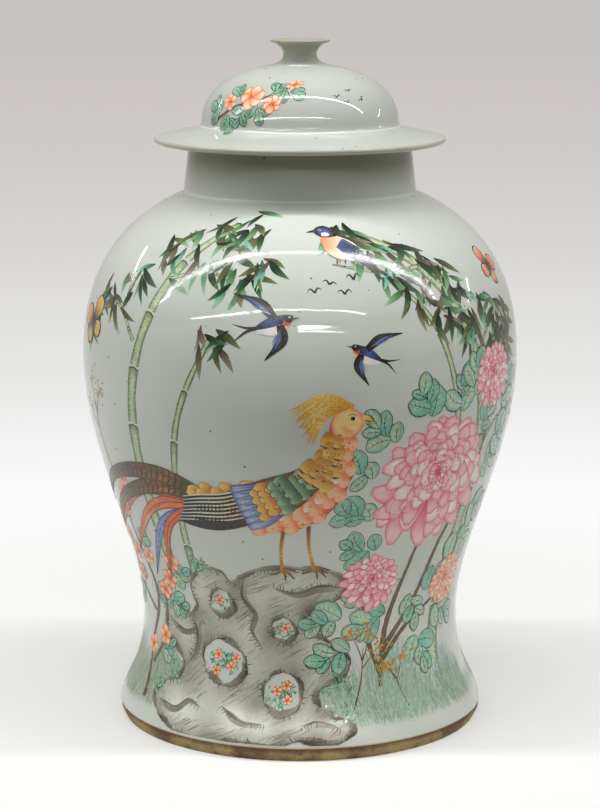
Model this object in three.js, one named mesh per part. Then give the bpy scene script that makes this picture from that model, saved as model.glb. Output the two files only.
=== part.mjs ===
// A porcelain lidded jar of baluster form: a wheel-thrown body with a short neck and a flared foot,
// and a domed lid with a wide brim, a flared knob and a collar underneath that centres it in the neck.
// Lengths are in millimetres and +Z is up. The origin is the centre of the foot, on its standing face.
import * as THREE from "three";

// Foot: a ring left bare of glaze, bevelled where it meets the table, round a recessed base
const footRadius = 103.9;
const footBandHeight = 7.4;
const footBevelRise = 4.2;
const footBevelRun = 2.2;
const footFaceWidth = 11;
const footRecessDepth = 9;
const footInnerTaper = 3;
const recessFillet = 2.5;
const glazeThickness = 0.5;

// Body: three curves that run into each other, from the foot over the waist and belly to the neck
const waistRadius = 90;
const waistHeight = 60;
const bellyRadius = 122.6;
const bellyHeight = 208;
const neckBaseRadius = 65.2;
const neckBaseHeight = 299.3;
const shoulderRun = 30;
const shoulderPitch = THREE.MathUtils.degToRad(22.7);
const bodyWall = 6;
const baseThickness = 8;
const floorRadius = 78;
const flareLeaveShare = 0.22;
const flareArriveShare = 0.66;
const bellyLeaveShare = 0.29;
const bellyArriveShare = 0.385;
const shoulderLeaveShare = 0.61;
const floorLeaveShare = 0.55;

// Neck: a plain upright collar with a rounded rim that carries the lid
const neckTopRadius = 62;
const rimHeight = 328.4;
const neckWall = 5.6;
const rimRound = 1.4;

// Lid: it sits on the rim, and its collar hangs inside the neck with room all round
const seatGap = 0.3;
const collarClearance = 2.4;
const collarDepth = 14;
const collarWall = 5;
const collarTaper = 1;
const collarRound = 1.5;
const brimRadius = 81.3;
const brimEdgeThickness = 3.6;
const brimDroop = 2.6;
const brimRise = 6.8;
const brimUndersideRise = 0.8;
const domeRadius = 55.2;
const domeHeight = 34.4;
const domeWall = 5;
const domeLeaveShare = 0.54;
const domeArriveShare = 0.73;

// Knob: a waisted stem that flares to a thin rim round a shallow dish
const knobHeight = 13;
const knobFootRadius = 14.5;
const knobWaistRadius = 9.4;
const knobWaistHeight = 4.4;
const knobRimRadius = 16.6;
const knobRimThickness = 1.8;
const knobDishDepth = 2.4;
const knobFlareShare = 0.58;
const knobFlareRun = 3.4;
const knobFlareDrop = 2;
const knobDishShare = 0.5;

// Facets round the axis and along each curve, and how near two points count as one
const facets = 64;
const flareSteps = 7;
const bellySteps = 10;
const shoulderSteps = 11;
const domeSteps = 9;
const innerDomeSteps = 6;
const innerShoulderSteps = 7;
const innerBellySteps = 6;
const floorSteps = 5;
const brimSteps = 3;
const knobSteps = 4;
const roundSteps = 2;
const samePointDistance = 0.02;

const bodyGlaze = new THREE.MeshStandardMaterial({ color: 0xd3dad4, roughness: 0.18, metalness: 0 });
const lidGlaze = new THREE.MeshStandardMaterial({ color: 0xd8dcd2, roughness: 0.18, metalness: 0 });

// A point of an outline: its distance from the axis and its height
function at(radius, height) {
  return new THREE.Vector2(radius, height);
}

// A curve that leaves one point and arrives at another along the two handles
function sweep(from, leave, arrive, to) {
  return new THREE.CubicBezierCurve(from, leave, arrive, to);
}

// A quarter or half turn round a centre, from one angle to another, in degrees
function turn(centre, radius, fromAngle, toAngle, steps = roundSteps) {
  const start = THREE.MathUtils.degToRad(fromAngle);
  const end = THREE.MathUtils.degToRad(toAngle);
  const clockwise = end < start;
  const arc = new THREE.EllipseCurve(centre.x, centre.y, radius, radius, start, end, clockwise);
  return arc.getPoints(steps);
}

// Joins stretches of outline end to end, and leaves out a point that repeats the one before it
function join(...stretches) {
  const points = [];
  for (const point of stretches.flat()) {
    const last = points[points.length - 1];
    if (!last || last.distanceTo(point) > samePointDistance) {
      points.push(point);
    }
  }
  return points;
}

// Points at the wall's thickness inside a curve, square to it at each place
function insideOf(curve, wall, steps) {
  return curve.getPoints(steps).map((point, index) => {
    const along = curve.getTangent(index / steps);
    return at(point.x - along.y * wall, point.y + along.x * wall);
  });
}

// Turns an outline about the upright axis into a solid
function revolve(name, outline, material) {
  const geometry = new THREE.LatheGeometry(outline, facets);
  geometry.rotateX(Math.PI / 2);
  const mesh = new THREE.Mesh(geometry, material);
  mesh.name = name;
  return mesh;
}

// The foot's outline from the centre of the recessed base, over the standing face, to the glaze's edge
function footOutline() {
  const bandRadius = footRadius - glazeThickness;
  const faceOuter = bandRadius - footBevelRun;
  const faceInner = faceOuter - footFaceWidth;
  const recessRadius = faceInner - footInnerTaper;
  const recessCorner = at(recessRadius - recessFillet, footRecessDepth - recessFillet);
  return join(
    [at(0, footRecessDepth)],
    turn(recessCorner, recessFillet, 90, 0),
    [at(faceInner, 0), at(faceOuter, 0)],
    [at(bandRadius, footBevelRise), at(bandRadius, footBandHeight)],
  );
}

function flareCurve() {
  const rise = waistHeight - footBandHeight;
  return sweep(
    at(footRadius, footBandHeight),
    at(footRadius, footBandHeight + flareLeaveShare * rise),
    at(waistRadius, waistHeight - flareArriveShare * rise),
    at(waistRadius, waistHeight),
  );
}

function bellyCurve() {
  const rise = bellyHeight - waistHeight;
  return sweep(
    at(waistRadius, waistHeight),
    at(waistRadius, waistHeight + bellyLeaveShare * rise),
    at(bellyRadius, bellyHeight - bellyArriveShare * rise),
    at(bellyRadius, bellyHeight),
  );
}

function shoulderCurve() {
  const rise = neckBaseHeight - bellyHeight;
  const runOut = shoulderRun * Math.cos(shoulderPitch);
  const runDown = shoulderRun * Math.sin(shoulderPitch);
  return sweep(
    at(bellyRadius, bellyHeight),
    at(bellyRadius, bellyHeight + shoulderLeaveShare * rise),
    at(neckBaseRadius + runOut, neckBaseHeight - runDown),
    at(neckBaseRadius, neckBaseHeight),
  );
}

// The rim is rounded on both edges and flat between them, where the lid rests
function rimOutline() {
  const centreHeight = rimHeight - rimRound;
  return join(
    turn(at(neckTopRadius - rimRound, centreHeight), rimRound, 0, 90),
    turn(at(neckTopRadius - neckWall + rimRound, centreHeight), rimRound, 90, 180),
  );
}

// The hollow follows the outside at the wall's thickness, down to a floor with a round corner
function hollowOutline() {
  const shoulderInside = insideOf(shoulderCurve(), bodyWall, innerShoulderSteps);
  const neckInside = neckTopRadius - neckWall;
  const underNeck = shoulderInside.filter((point) => point.x > neckInside + bodyWall);
  const bellyInside = insideOf(bellyCurve(), bodyWall, innerBellySteps);
  const floorHeight = footRecessDepth + baseThickness;
  const drop = waistHeight - floorHeight;
  const floorCorner = sweep(
    at(waistRadius - bodyWall, waistHeight),
    at(waistRadius - bodyWall, waistHeight - floorLeaveShare * drop),
    at(floorRadius, floorHeight),
    at(floorRadius - drop * floorLeaveShare, floorHeight),
  );
  const neckFoot = at(neckInside, neckBaseHeight - bodyWall / 2);
  return join(
    [neckFoot],
    underNeck.reverse(),
    bellyInside.reverse(),
    floorCorner.getPoints(floorSteps),
    [at(0, floorHeight)],
  );
}

function jarBody() {
  const outline = join(
    footOutline(),
    flareCurve().getPoints(flareSteps),
    bellyCurve().getPoints(bellySteps),
    shoulderCurve().getPoints(shoulderSteps),
    rimOutline(),
    hollowOutline(),
  );
  return revolve("jar_body", outline, bodyGlaze);
}

const seatHeight = rimHeight + seatGap;
const domeBaseHeight = seatHeight + brimRise;
const crownHeight = domeBaseHeight + domeHeight;

// The dome's curve, at the outside or, moved in by the wall, at the inside
function domeCurve(wall) {
  const radius = domeRadius - wall;
  const rise = domeHeight;
  const base = domeBaseHeight - wall;
  return sweep(
    at(radius, base),
    at(radius, base + domeLeaveShare * rise),
    at(domeArriveShare * radius, base + rise),
    at(0, base + rise),
  );
}

// The collar that hangs in the neck, from its inner face round its lower edge to the seat
function collarOutline() {
  const outer = neckTopRadius - neckWall - collarClearance;
  const lowOuter = outer - collarTaper;
  const lowInner = outer - collarWall;
  const edgeHeight = seatHeight - collarDepth + collarRound;
  return join(
    turn(at(lowInner + collarRound, edgeHeight), collarRound, 180, 270),
    turn(at(lowOuter - collarRound, edgeHeight), collarRound, 270, 360),
    [at(outer, seatHeight)],
  );
}

// The brim lies flat on the rim, droops to a rounded edge and climbs back to the foot of the dome
function brimOutline() {
  const edgeRound = brimEdgeThickness / 2;
  const edgeCentre = at(brimRadius - edgeRound, seatHeight - brimDroop + edgeRound);
  const shelf = neckTopRadius + brimUndersideRise;
  const top = domeBaseHeight;
  return join(
    [at(shelf, seatHeight)],
    turn(edgeCentre, edgeRound, 270, 450, 2 * roundSteps),
    sweep(
      at(edgeCentre.x, edgeCentre.y + edgeRound),
      at(edgeCentre.x - brimRise, edgeCentre.y + edgeRound + brimDroop),
      at(domeRadius + brimRise, top - brimDroop),
      at(domeRadius, top),
    ).getPoints(brimSteps),
  );
}

function knobOutline() {
  const top = crownHeight + knobHeight;
  const waist = crownHeight + knobWaistHeight;
  const underRim = top - knobRimThickness;
  const rimCentre = at(knobRimRadius - knobRimThickness / 2, top - knobRimThickness / 2);
  const dish = knobRimRadius - knobRimThickness;
  return join(
    sweep(
      at(knobFootRadius, crownHeight),
      at(knobWaistRadius, crownHeight),
      at(knobWaistRadius, crownHeight),
      at(knobWaistRadius, waist),
    ).getPoints(knobSteps),
    sweep(
      at(knobWaistRadius, waist),
      at(knobWaistRadius, waist + knobFlareShare * (underRim - waist)),
      at(rimCentre.x - knobFlareRun, underRim - knobFlareDrop),
      at(rimCentre.x, underRim),
    ).getPoints(knobSteps),
    turn(rimCentre, knobRimThickness / 2, 270, 450, 2 * roundSteps),
    sweep(
      at(rimCentre.x, top),
      at(dish - knobDishDepth, top),
      at(dish * knobDishShare, top - knobDishDepth),
      at(0, top - knobDishDepth),
    ).getPoints(knobSteps),
  );
}

function lid() {
  const domeOutside = domeCurve(0).getPoints(domeSteps).filter((point) => point.x > knobFootRadius);
  const domeInside = domeCurve(domeWall).getPoints(innerDomeSteps).reverse();
  const outline = join(domeInside, collarOutline(), brimOutline(), domeOutside, knobOutline());
  return revolve("lid", outline, lidGlaze);
}

const jar = new THREE.Group();
jar.add(jarBody(), lid());

export default jar;
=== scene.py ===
# %% [markdown]
# # A painted porcelain jar with a domed lid
# The jar is thrown in two pieces, glazed, fired, and painted over the glaze with enamels that a
# second, cooler firing melts on. The scene follows that order: the form, the glaze and the bare
# foot, then the painting as a thin relief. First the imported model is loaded. Its solids say where
# each piece is and how large.

# %% Load the frame
import math
from contextlib import contextmanager

import bmesh
import bpy
import numpy as np
from numpy.linalg import norm
from numpy.random import default_rng
from mathutils import Matrix, Vector
from mathutils.geometry import delaunay_2d_cdt


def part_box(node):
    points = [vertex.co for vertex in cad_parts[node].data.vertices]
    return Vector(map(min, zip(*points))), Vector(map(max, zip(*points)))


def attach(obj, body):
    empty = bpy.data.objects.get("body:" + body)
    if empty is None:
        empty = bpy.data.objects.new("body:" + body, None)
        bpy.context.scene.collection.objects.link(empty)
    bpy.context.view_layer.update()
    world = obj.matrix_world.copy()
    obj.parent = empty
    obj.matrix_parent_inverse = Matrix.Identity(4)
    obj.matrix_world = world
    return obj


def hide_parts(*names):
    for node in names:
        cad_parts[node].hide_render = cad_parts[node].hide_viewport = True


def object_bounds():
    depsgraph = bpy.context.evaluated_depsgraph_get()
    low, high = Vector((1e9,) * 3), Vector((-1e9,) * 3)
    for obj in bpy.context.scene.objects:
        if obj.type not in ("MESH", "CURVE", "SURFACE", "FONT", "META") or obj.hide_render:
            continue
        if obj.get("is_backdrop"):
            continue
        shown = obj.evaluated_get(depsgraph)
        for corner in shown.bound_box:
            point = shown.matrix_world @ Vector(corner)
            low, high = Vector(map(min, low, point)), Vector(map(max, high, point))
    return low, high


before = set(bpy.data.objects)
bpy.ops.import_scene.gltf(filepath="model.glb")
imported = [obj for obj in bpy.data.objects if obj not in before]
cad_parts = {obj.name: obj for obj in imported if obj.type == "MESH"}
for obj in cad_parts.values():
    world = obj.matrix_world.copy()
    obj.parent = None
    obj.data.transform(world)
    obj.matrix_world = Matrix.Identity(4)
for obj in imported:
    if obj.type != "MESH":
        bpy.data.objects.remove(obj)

MM = 0.001
cad_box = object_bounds()
body_high, lid_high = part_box("jar_body")[1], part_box("lid")[1]
rim_height, belly_radius = body_high.z, body_high.x
print("jar body", [round(v / MM, 1) for v in body_high], "lid top", round(lid_high.z / MM, 1))


def in_scene(name, data):
    thing = bpy.data.objects.new(name, data)
    bpy.context.scene.collection.objects.link(thing)
    return thing


def new_object(name, points, edges=(), faces=()):
    """A mesh object made from plain lists."""
    mesh = bpy.data.meshes.new(name)
    mesh.from_pydata(points, edges, faces)
    return in_scene(name, mesh)


def ring(corners, radius, height):
    turns = [math.tau * corner / corners for corner in range(corners)]
    return [(radius * math.cos(turn), radius * math.sin(turn), height) for turn in turns]


# %% [markdown]
# ## Camera
# The jar was seen from a little above its middle through a long lens, which keeps foot and rim
# almost as round as they are. The focal length comes from the pixels that one unit of slope covers,
# because a photograph lets one measure that.

# %% Place the camera
frame_height_px = 809
focal_px = 2579.4
camera_distance, camera_height = 1436.5 * MM, 457.6 * MM
camera_pitch = math.radians(11.04)

lens = bpy.data.cameras.new("view")
lens.sensor_fit = "VERTICAL"
lens.sensor_height = 36.0
lens.lens = focal_px * lens.sensor_height / frame_height_px
lens.clip_start = 0.05
camera = in_scene("view", lens)
camera.location = (0, -camera_distance, camera_height)
camera.rotation_euler = (math.pi / 2 - camera_pitch, 0, 0)
bpy.context.scene.camera = camera
print("lens", round(lens.lens, 1), "mm")

# %% [markdown]
# ## Node helper
# Materials and Geometry Nodes are trees of nodes. `Wire` wraps an output socket, and Python's
# operators on it add Math nodes, so a formula reads like a formula. `Desk.add` makes any other node
# from its type, its inputs and its settings.


# %% Build trees from expressions
class Wire:
    """One output socket of a tree. Arithmetic on it adds Math nodes."""

    def __init__(self, desk, socket):
        self.desk, self.socket = desk, socket

    def math(self, operation, *values):
        return self.desk.add("Math", dict(enumerate(values)), operation=operation)

    def out(self, name):
        """Another output of the same node."""
        return Wire(self.desk, self.desk.socket(self.socket.node.outputs, name))

    def ramp(self, low, high):
        """0 up to low, 1 from high on, smooth between."""
        inputs = {"Value": self, "From Min": low, "From Max": high}
        return self.desk.add("MapRange", inputs, interpolation_type="SMOOTHSTEP")


for sign, name in ("add", "ADD"), ("sub", "SUBTRACT"), ("mul", "MULTIPLY"), ("truediv", "DIVIDE"):
    setattr(Wire, f"__{sign}__", lambda self, other, name=name: self.math(name, self, other))
    setattr(Wire, f"__r{sign}__", lambda self, other, name=name: self.math(name, other, self))


class Desk:
    """A node tree under construction."""

    def __init__(self, tree):
        self.tree = tree

    def socket(self, sockets, name):
        return next((one for one in sockets if one.identifier == name), None) or sockets[name]

    def put(self, node, inputs):
        for name, value in inputs.items():
            target = self.socket(node.inputs, name)
            if isinstance(value, Wire):
                self.tree.links.new(value.socket, target)
            else:
                target.default_value = value

    def add(self, kind, inputs=None, output=0, **settings):
        """A node of any type. A type without Node in its name is a shader node."""
        node = self.tree.nodes.new(kind if "Node" in kind else "ShaderNode" + kind)
        for name, value in settings.items():
            setattr(node, name, value)
        self.put(node, inputs or {})
        return Wire(self, self.socket(node.outputs, output)) if node.outputs else None

    def vector(self, operation, *values, output="Vector"):
        return self.add("VectorMath", dict(enumerate(values)), output, operation=operation)

    def parts(self, place, output="Z"):
        return self.add("SeparateXYZ", {"Vector": place}, output)

    def mix(self, factor, first, second):
        """A colour between two others."""
        inputs = {"Factor_Float": factor, "A_Color": first, "B_Color": second}
        return self.add("Mix", inputs, "Result_Color", data_type="RGBA")

    def noise(self, place, scale, detail=2.0, roughness=0.5):
        inputs = {"Vector": place, "Scale": scale, "Detail": detail, "Roughness": roughness}
        return self.add("TexNoise", inputs)

    def bump(self, height, strength, distance):
        inputs = {"Height": height, "Strength": strength, "Distance": distance}
        return self.add("Bump", inputs, "Normal")


def light(levels):
    """Levels of a screen, from 0 to 255, as the light that a shader works with."""
    share = np.array(levels, float) / 255
    return np.where(share <= 0.04045, share / 12.92, ((share + 0.055) / 1.055) ** 2.4)


def srgb(*levels):
    return (*light(levels), 1.0)


def new_material(name):
    """A material, the desk to build it on, its shader and the place on the object."""
    material = bpy.data.materials.new(name)
    material.use_nodes = True
    material.node_tree.nodes.clear()
    desk = Desk(material.node_tree)
    shader = desk.add("BsdfPrincipled")
    output = desk.tree.nodes.new("ShaderNodeOutputMaterial")
    desk.put(output, {"Surface": shader})
    place = desk.add("TexCoord", {}, "Object")
    return material, desk, shader, place


print("tree helpers ready")

# %% [markdown]
# ## Stage and light
# Porcelain is judged by its reflections. The jar stood on a white table under long lamps: one
# nearly overhead, one in front and some behind, which a round shoulder shows as thin bright arcs.
# Area lamps do this. Those in front and behind are thin, bright and seen by glossy rays alone, so
# they draw lines on the glaze, and a soft one in front gives their light. The backdrop is the world's
# colour, darker on the camera's side in reflections, which gives the glaze its depth.


# %% Hang the lamps
def strip(name, left, right, y, z, radiance, thickness, rays):
    """A strip of light that faces the jar. A white wall's radiance is 1."""
    start, end = Vector((left, y, z)), Vector((right, y, z))
    along, middle = (end - start).normalized(), (start + end) / 2
    away = middle - Vector((0, 0, rim_height))
    away = (away - away.project(along)).normalized()
    data = bpy.data.lights.new(name, "AREA")
    data.shape = "RECTANGLE"
    data.size, data.size_y = (end - start).length, thickness * MM
    data.energy = radiance * math.pi * data.size * data.size_y
    lamp = in_scene(name, data)
    turn = Matrix((along, away.cross(along), away)).transposed()
    lamp.matrix_world = Matrix.Translation(middle) @ turn.to_4x4()
    lamp.visible_camera = False
    lamp.visible_diffuse = rays != "glossy"
    lamp.visible_glossy = rays != "diffuse"


for lamp in (
    ("overhead_0", -5.6, -2.15, -0.42, 2.2, 40.8, 94, "all"),
    ("overhead_1", -2.1, -0.5, -0.42, 2.2, 51, 94, "all"),
    ("overhead_2", -0.41, 0.26, -0.42, 2.2, 56.1, 94, "all"),
    ("overhead_3", 0.34, 4.1, -0.42, 2.2, 45.9, 94, "all"),
    ("front_0", -1.95, -1.3, -1.15, 0.92, 170, 10, "glossy"),
    ("front_1", -1.22, -0.62, -1.15, 0.92, 170, 10, "glossy"),
    ("front_2", -0.56, -0.2, -1.15, 0.92, 170, 10, "glossy"),
    ("front_3", -0.15, 0.84, -1.15, 0.92, 170, 10, "glossy"),
    ("front_soft", -1.9, 0.9, -1.15, 0.92, 25, 18, "diffuse"),
    ("front_far", -0.03, 0.8, -1.9, 0.9, 60, 9, "glossy"),
    ("behind_left", -1.9, -0.95, 0.72, 0.92, 40, 20, "glossy"),
    ("behind_right", 1.6, 2.7, 0.72, 0.92, 40, 20, "glossy"),
):
    strip(*lamp)
print("lamps", len(bpy.data.lights))

# %% Paint the backdrop
sky_strength = 0.085
backdrop = [
    (-0.27, srgb(254, 254, 254)),
    (-0.225, srgb(252, 252, 253)),
    (-0.19, srgb(236, 236, 235)),
    (-0.152, srgb(223, 222, 220)),
    (-0.114, srgb(211, 208, 205)),
    (-0.076, srgb(204, 199, 196)),
    (0.0, srgb(190, 186, 182)),
    (0.5, srgb(170, 168, 165)),
]

# Camera and reflections see the backdrop, the rest a weaker fill.
world = bpy.data.worlds.new("studio")
world.use_nodes = True
world.node_tree.nodes.clear()
desk = Desk(world.node_tree)
rise = desk.parts(desk.add("TexCoord", {}, "Generated"))
low, high = backdrop[0][0], backdrop[-1][0]
ramp = desk.add("ValToRGB", {"Fac": (rise - low) / (high - low)}, "Color")
elements = ramp.socket.node.color_ramp.elements
elements[0].color, elements[1].color = backdrop[0][1], backdrop[-1][1]
for height, colour in backdrop[1:-1]:
    elements.new((height - low) / (high - low)).color = colour
path = desk.add("LightPath", {}, "Is Camera Ray")
seen = path.math("MAXIMUM", path, path.out("Is Glossy Ray"))
seen = seen.math("MAXIMUM", seen, path.out("Is Transmission Ray"))
fill = (sky_strength, sky_strength * 0.98, sky_strength * 0.9, 1.0)
dark = desk.vector("MULTIPLY", ramp, (0.2, 0.2, 0.18))
lit = path.math("MAXIMUM", path, rise.out("Y").ramp(-0.6, 0.25))
colour = desk.mix(seen, fill, desk.mix(lit, dark, ramp))
background = desk.add("Background", {"Color": colour, "Strength": 1.0})
desk.add("OutputWorld", {"Surface": background})
bpy.context.scene.world = world
bpy.context.scene.view_settings.view_transform = "Standard"
print("backdrop of", len(backdrop), "tones")

# %% Set the table
table_radius, table_corners = 1.1, 96
fade_from, fade_to = 0.16, 0.62


def build_table():
    """A round white table top that fades into the backdrop."""
    rim = ring(table_corners, table_radius, 0)
    faces = [(0, 1 + corner, 1 + (corner + 1) % table_corners) for corner in range(table_corners)]
    table = new_object("table", [(0, 0, 0)] + rim, faces=faces)
    material, desk, shader, place = new_material("white_table")
    away = desk.vector("LENGTH", place, output="Value")
    path = desk.add("LightPath", {}, "Is Camera Ray")
    seen = path.math("MAXIMUM", path, path.out("Is Glossy Ray"))
    white = desk.mix(seen, srgb(212, 211, 206), srgb(249, 248, 243))
    desk.put(shader.socket.node, {"Base Color": white, "Roughness": 0.55})
    glow = desk.add("Emission", {"Color": srgb(252, 252, 252), "Strength": 1.0})
    solid = desk.add("MixShader", {0: seen * 0.36, 1: shader, 2: glow})
    clear = desk.add("BsdfTransparent")
    blend = desk.add("MixShader", {0: away.ramp(fade_from, fade_to), 1: solid, 2: clear})
    desk.put(desk.tree.nodes["Material Output"], {"Surface": blend})
    table.data.materials.append(material)
    table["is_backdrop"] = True
    return table


print("table faces", len(build_table().data.polygons))

# %% [markdown]
# ## The thrown form
# A wheel turns one outline round one axis. The outline is three curves that flow into each other,
# the same that the solid has, with many more points. The glazed outside lies a little under the
# solid's surface, which leaves room for the painting inside the true size. Faint rings from the
# potter's fingers are part of it.

# %% Draw with curves
paint_room = 0.3 * MM
foot_radius, foot_band_height = 103.9 * MM, 7.4 * MM
foot_bevel_rise, foot_bevel_run = 4.2 * MM, 2.2 * MM
foot_face_width, foot_recess_depth, foot_inner_taper = 11 * MM, 9 * MM, 3 * MM
glaze_thickness = 0.5 * MM
waist_radius, waist_height = 90 * MM, 60 * MM
belly_height = 208 * MM
neck_base_radius, neck_base_height = 65.2 * MM, 299.3 * MM
neck_top_radius = 62 * MM
neck_wall, body_wall = 5.6 * MM, 6 * MM
shoulder_run, shoulder_pitch = 30 * MM, math.radians(22.7)
rim_round, base_thickness, floor_radius = 1.4 * MM, 8 * MM, 78 * MM


def bezier(start, leave, arrive, end, steps):
    """A curve with two handles. A point of an outline is its radius + 1j * its height."""
    share = np.linspace(0, 1, steps + 1)
    rest = 1 - share
    return rest**3 * start + 3 * rest**2 * share * leave + 3 * rest * share**2 * arrive + share**3 * end


def worn(before, corner, after, steps=4):
    """A sharp corner that use has rounded."""
    return bezier(before, corner, corner, after, steps)


def arc(centre, radius, from_degrees, to_degrees, steps=8):
    angle = np.radians(np.linspace(from_degrees, to_degrees, steps + 1))
    return centre + radius * (np.cos(angle) + 1j * np.sin(angle))


def joined(*stretches):
    """Stretches of outline end to end, without points that repeat."""
    points = np.hstack(stretches)
    return points[np.r_[True, abs(np.diff(points)) > 0.005 * MM]]


def outer_curves(steps=70):
    """The body's outside from the foot's band up to the neck."""
    foot, waist = foot_radius + 1j * foot_band_height, waist_radius + 1j * waist_height
    belly, neck = belly_radius + 1j * belly_height, neck_base_radius + 1j * neck_base_height
    flare, rise, fall = (waist - foot).imag, (belly - waist).imag, (neck - belly).imag
    slope = shoulder_run * math.cos(shoulder_pitch) - 1j * shoulder_run * math.sin(shoulder_pitch)
    return joined(
        bezier(foot, foot + 0.22j * flare, waist - 0.66j * flare, waist, steps // 2),
        bezier(waist, waist + 0.29j * rise, belly - 0.385j * rise, belly, steps),
        bezier(belly, belly + 0.61j * fall, neck + slope, neck, steps),
    )


def moved_in(points, wall):
    """The outline at the wall's thickness inside the given one."""
    along = np.gradient(points)
    return points + wall * 1j * along / abs(along)


def pairs(points):
    return np.column_stack([points.real, points.imag])


outside = moved_in(outer_curves(), paint_room)
print("outline points", len(outside), "widest", round(outside.real.max() / MM, 2), "mm")

# %% Outline of the body
ring_depth, neck_fillet = 0.075 * MM, 2.8 * MM
bevel_round, recess_round, glaze_lip = 0.8 * MM, 2.5 * MM, 0.55 * MM
band_radius = foot_radius - glaze_thickness - paint_room
face_outer = band_radius - foot_bevel_run
face_inner = face_outer - foot_face_width
recess_radius = face_inner - foot_inner_taper
neck_top = neck_top_radius - paint_room + 1j * (rim_height - rim_round)


def throwing_rings(points, depth, seed):
    """Moves the outline a little, as the potter's fingers did."""
    random = default_rng(seed)
    height = points.imag
    push = np.zeros(len(points))
    for wave in random.uniform(5, 26, 7) * MM:
        push += np.sin(math.tau * (height / wave + random.random())) * random.uniform(0.3, 1)
    calm = np.clip((height - height.min()) / (20 * MM), 0, 1)
    calm = calm * np.clip((height.max() - height) / (8 * MM), 0, 1)
    return points + depth * calm * (push - push.max()) / 4


def softened(points, corner, radius):
    """Fills one inside corner to about that radius."""
    away = abs(points - corner)
    first = last = np.argmin(away)
    while away[first] < radius:
        first -= 1
    while away[last] < radius:
        last += 1
    return joined(points[:first], worn(points[first], corner, points[last], 8), points[last + 1 :])


# The order runs from the middle of the recess over foot, outside and rim to the middle of the floor.
recess, band = recess_radius + 1j * foot_recess_depth, band_radius + 1j * foot_band_height
bevel, soft = band_radius + 1j * foot_bevel_rise, bevel_round
glazed_outside = throwing_rings(outside, ring_depth, seed=4)
neck_foot, lip = glazed_outside[-1], neck_top - (neck_wall - paint_room) + rim_round
hollow = moved_in(outer_curves(), body_wall)
hollow = hollow[(hollow.imag > waist_height) & (hollow.real > neck_top_radius - neck_wall)][::-1]
floor_height = foot_recess_depth + base_thickness
side, floor = waist_radius - body_wall + 1j * waist_height, floor_radius + 1j * floor_height
drop = waist_height - floor_height
body_outline = joined(
    [1j * foot_recess_depth],
    arc(recess - (1 + 1j) * recess_round, recess_round, 90, 0),
    worn(face_inner + (-0.6 + 1.4j) * MM, face_inner, face_inner + soft),
    worn(face_outer - soft, face_outer, face_outer + (0.35 + 0.7j) * soft),
    worn(bevel - (0.4 + 0.7j) * soft, bevel, bevel + 1j * soft),
    [band],
    arc(band - 0.05 * MM + 1j * glaze_lip, glaze_lip, -90, -10, 6),
    glazed_outside[glazed_outside.imag > foot_band_height + 0.7 * MM],
    bezier(neck_foot, 0.66 * neck_foot + 0.34 * neck_top, 0.34 * neck_foot + 0.66 * neck_top, neck_top, 24),
    arc(neck_top - rim_round, rim_round, 0, 90),
    arc(lip, rim_round, 90, 180),
    hollow,
    bezier(side, side - 0.55j * drop, floor, floor - 0.55 * drop, 24),
    [1j * floor_height],
)
body_outline = pairs(softened(body_outline, neck_foot, neck_fillet))
print("body outline", len(body_outline), "points")

# %% Outline of the lid
seat_gap = 0.3 * MM
collar_clearance, collar_depth = 2.4 * MM, 14 * MM
collar_wall, collar_taper, collar_round = 5 * MM, 1 * MM, 1.5 * MM
brim_radius = lid_high.x
brim_edge_thickness, brim_droop, brim_rise = 3.6 * MM, 2.6 * MM, 6.8 * MM
dome_radius, dome_height, dome_wall, dome_fillet = 55.2 * MM, 34.4 * MM, 5 * MM, 5.5 * MM
knob_height, knob_foot_radius = 13 * MM, 14.5 * MM
knob_waist_radius, knob_waist_height = 9.4 * MM, 4.4 * MM
knob_rim_radius, knob_rim_thickness, knob_dish_depth = 16.6 * MM, 1.8 * MM, 2.4 * MM
knob_flare_run, knob_flare_drop = 3.4 * MM, 2 * MM
seat_height = rim_height + seat_gap
dome_base = seat_height + brim_rise
crown_height = dome_base + dome_height
dome_foot = dome_radius + 1j * dome_base


def dome_curve(wall):
    foot = dome_foot - (1 + 1j) * wall
    top = 1j * (foot.imag + dome_height)
    return bezier(foot, foot + 0.54j * dome_height, 0.73 * foot.real + top, top, 60)


# The order runs from the dome's inside over collar, seat, brim and dome to the middle of the knob.
collar = neck_top_radius - neck_wall - collar_clearance + 1j * (seat_height - collar_depth + collar_round)
edge, knob_edge = brim_edge_thickness / 2, knob_rim_thickness / 2
brim = brim_radius - edge + 1j * (seat_height - brim_droop + edge)
crest, slope = brim + 1j * edge, brim_rise - 1j * brim_droop
dome_outside, crown = dome_curve(0), 1j * crown_height
root, waist = knob_foot_radius + crown, knob_waist_radius + crown
knob_waist = waist + 1j * knob_waist_height
knob_rim = knob_rim_radius - knob_edge + 1j * (crown_height + knob_height)
under, dish = knob_rim - 1j * knob_rim_thickness, knob_rim_radius - knob_rim_thickness
top = 1j * knob_rim.imag
dish_floor = top - 1j * knob_dish_depth
lid_outline = joined(
    dome_curve(dome_wall)[::-1],
    arc(collar - collar_wall + collar_round, collar_round, 180, 270),
    arc(collar - collar_taper - collar_round, collar_round, 270, 360),
    np.array([collar.real, neck_top_radius + 0.8 * MM]) + 1j * seat_height,
    arc(brim, edge, -90, 90, 14),
    bezier(crest, crest - slope, dome_foot + slope, dome_foot, 30),
    dome_outside[dome_outside.real > knob_foot_radius],
    bezier(root - 0.35j * MM, root + (-2.4 + 0.2j) * MM, waist + 1.8j * MM, knob_waist, 12),
    bezier(knob_waist, knob_waist + 0.58j * (under - knob_waist).imag,
        under - knob_flare_run - 1j * knob_flare_drop, under, 16),
    arc(knob_rim - 1j * knob_edge, knob_edge, -90, 90, 8),
    bezier(knob_rim, dish - knob_dish_depth + top, 0.5 * dish + dish_floor, dish_floor, 16),
)
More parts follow.
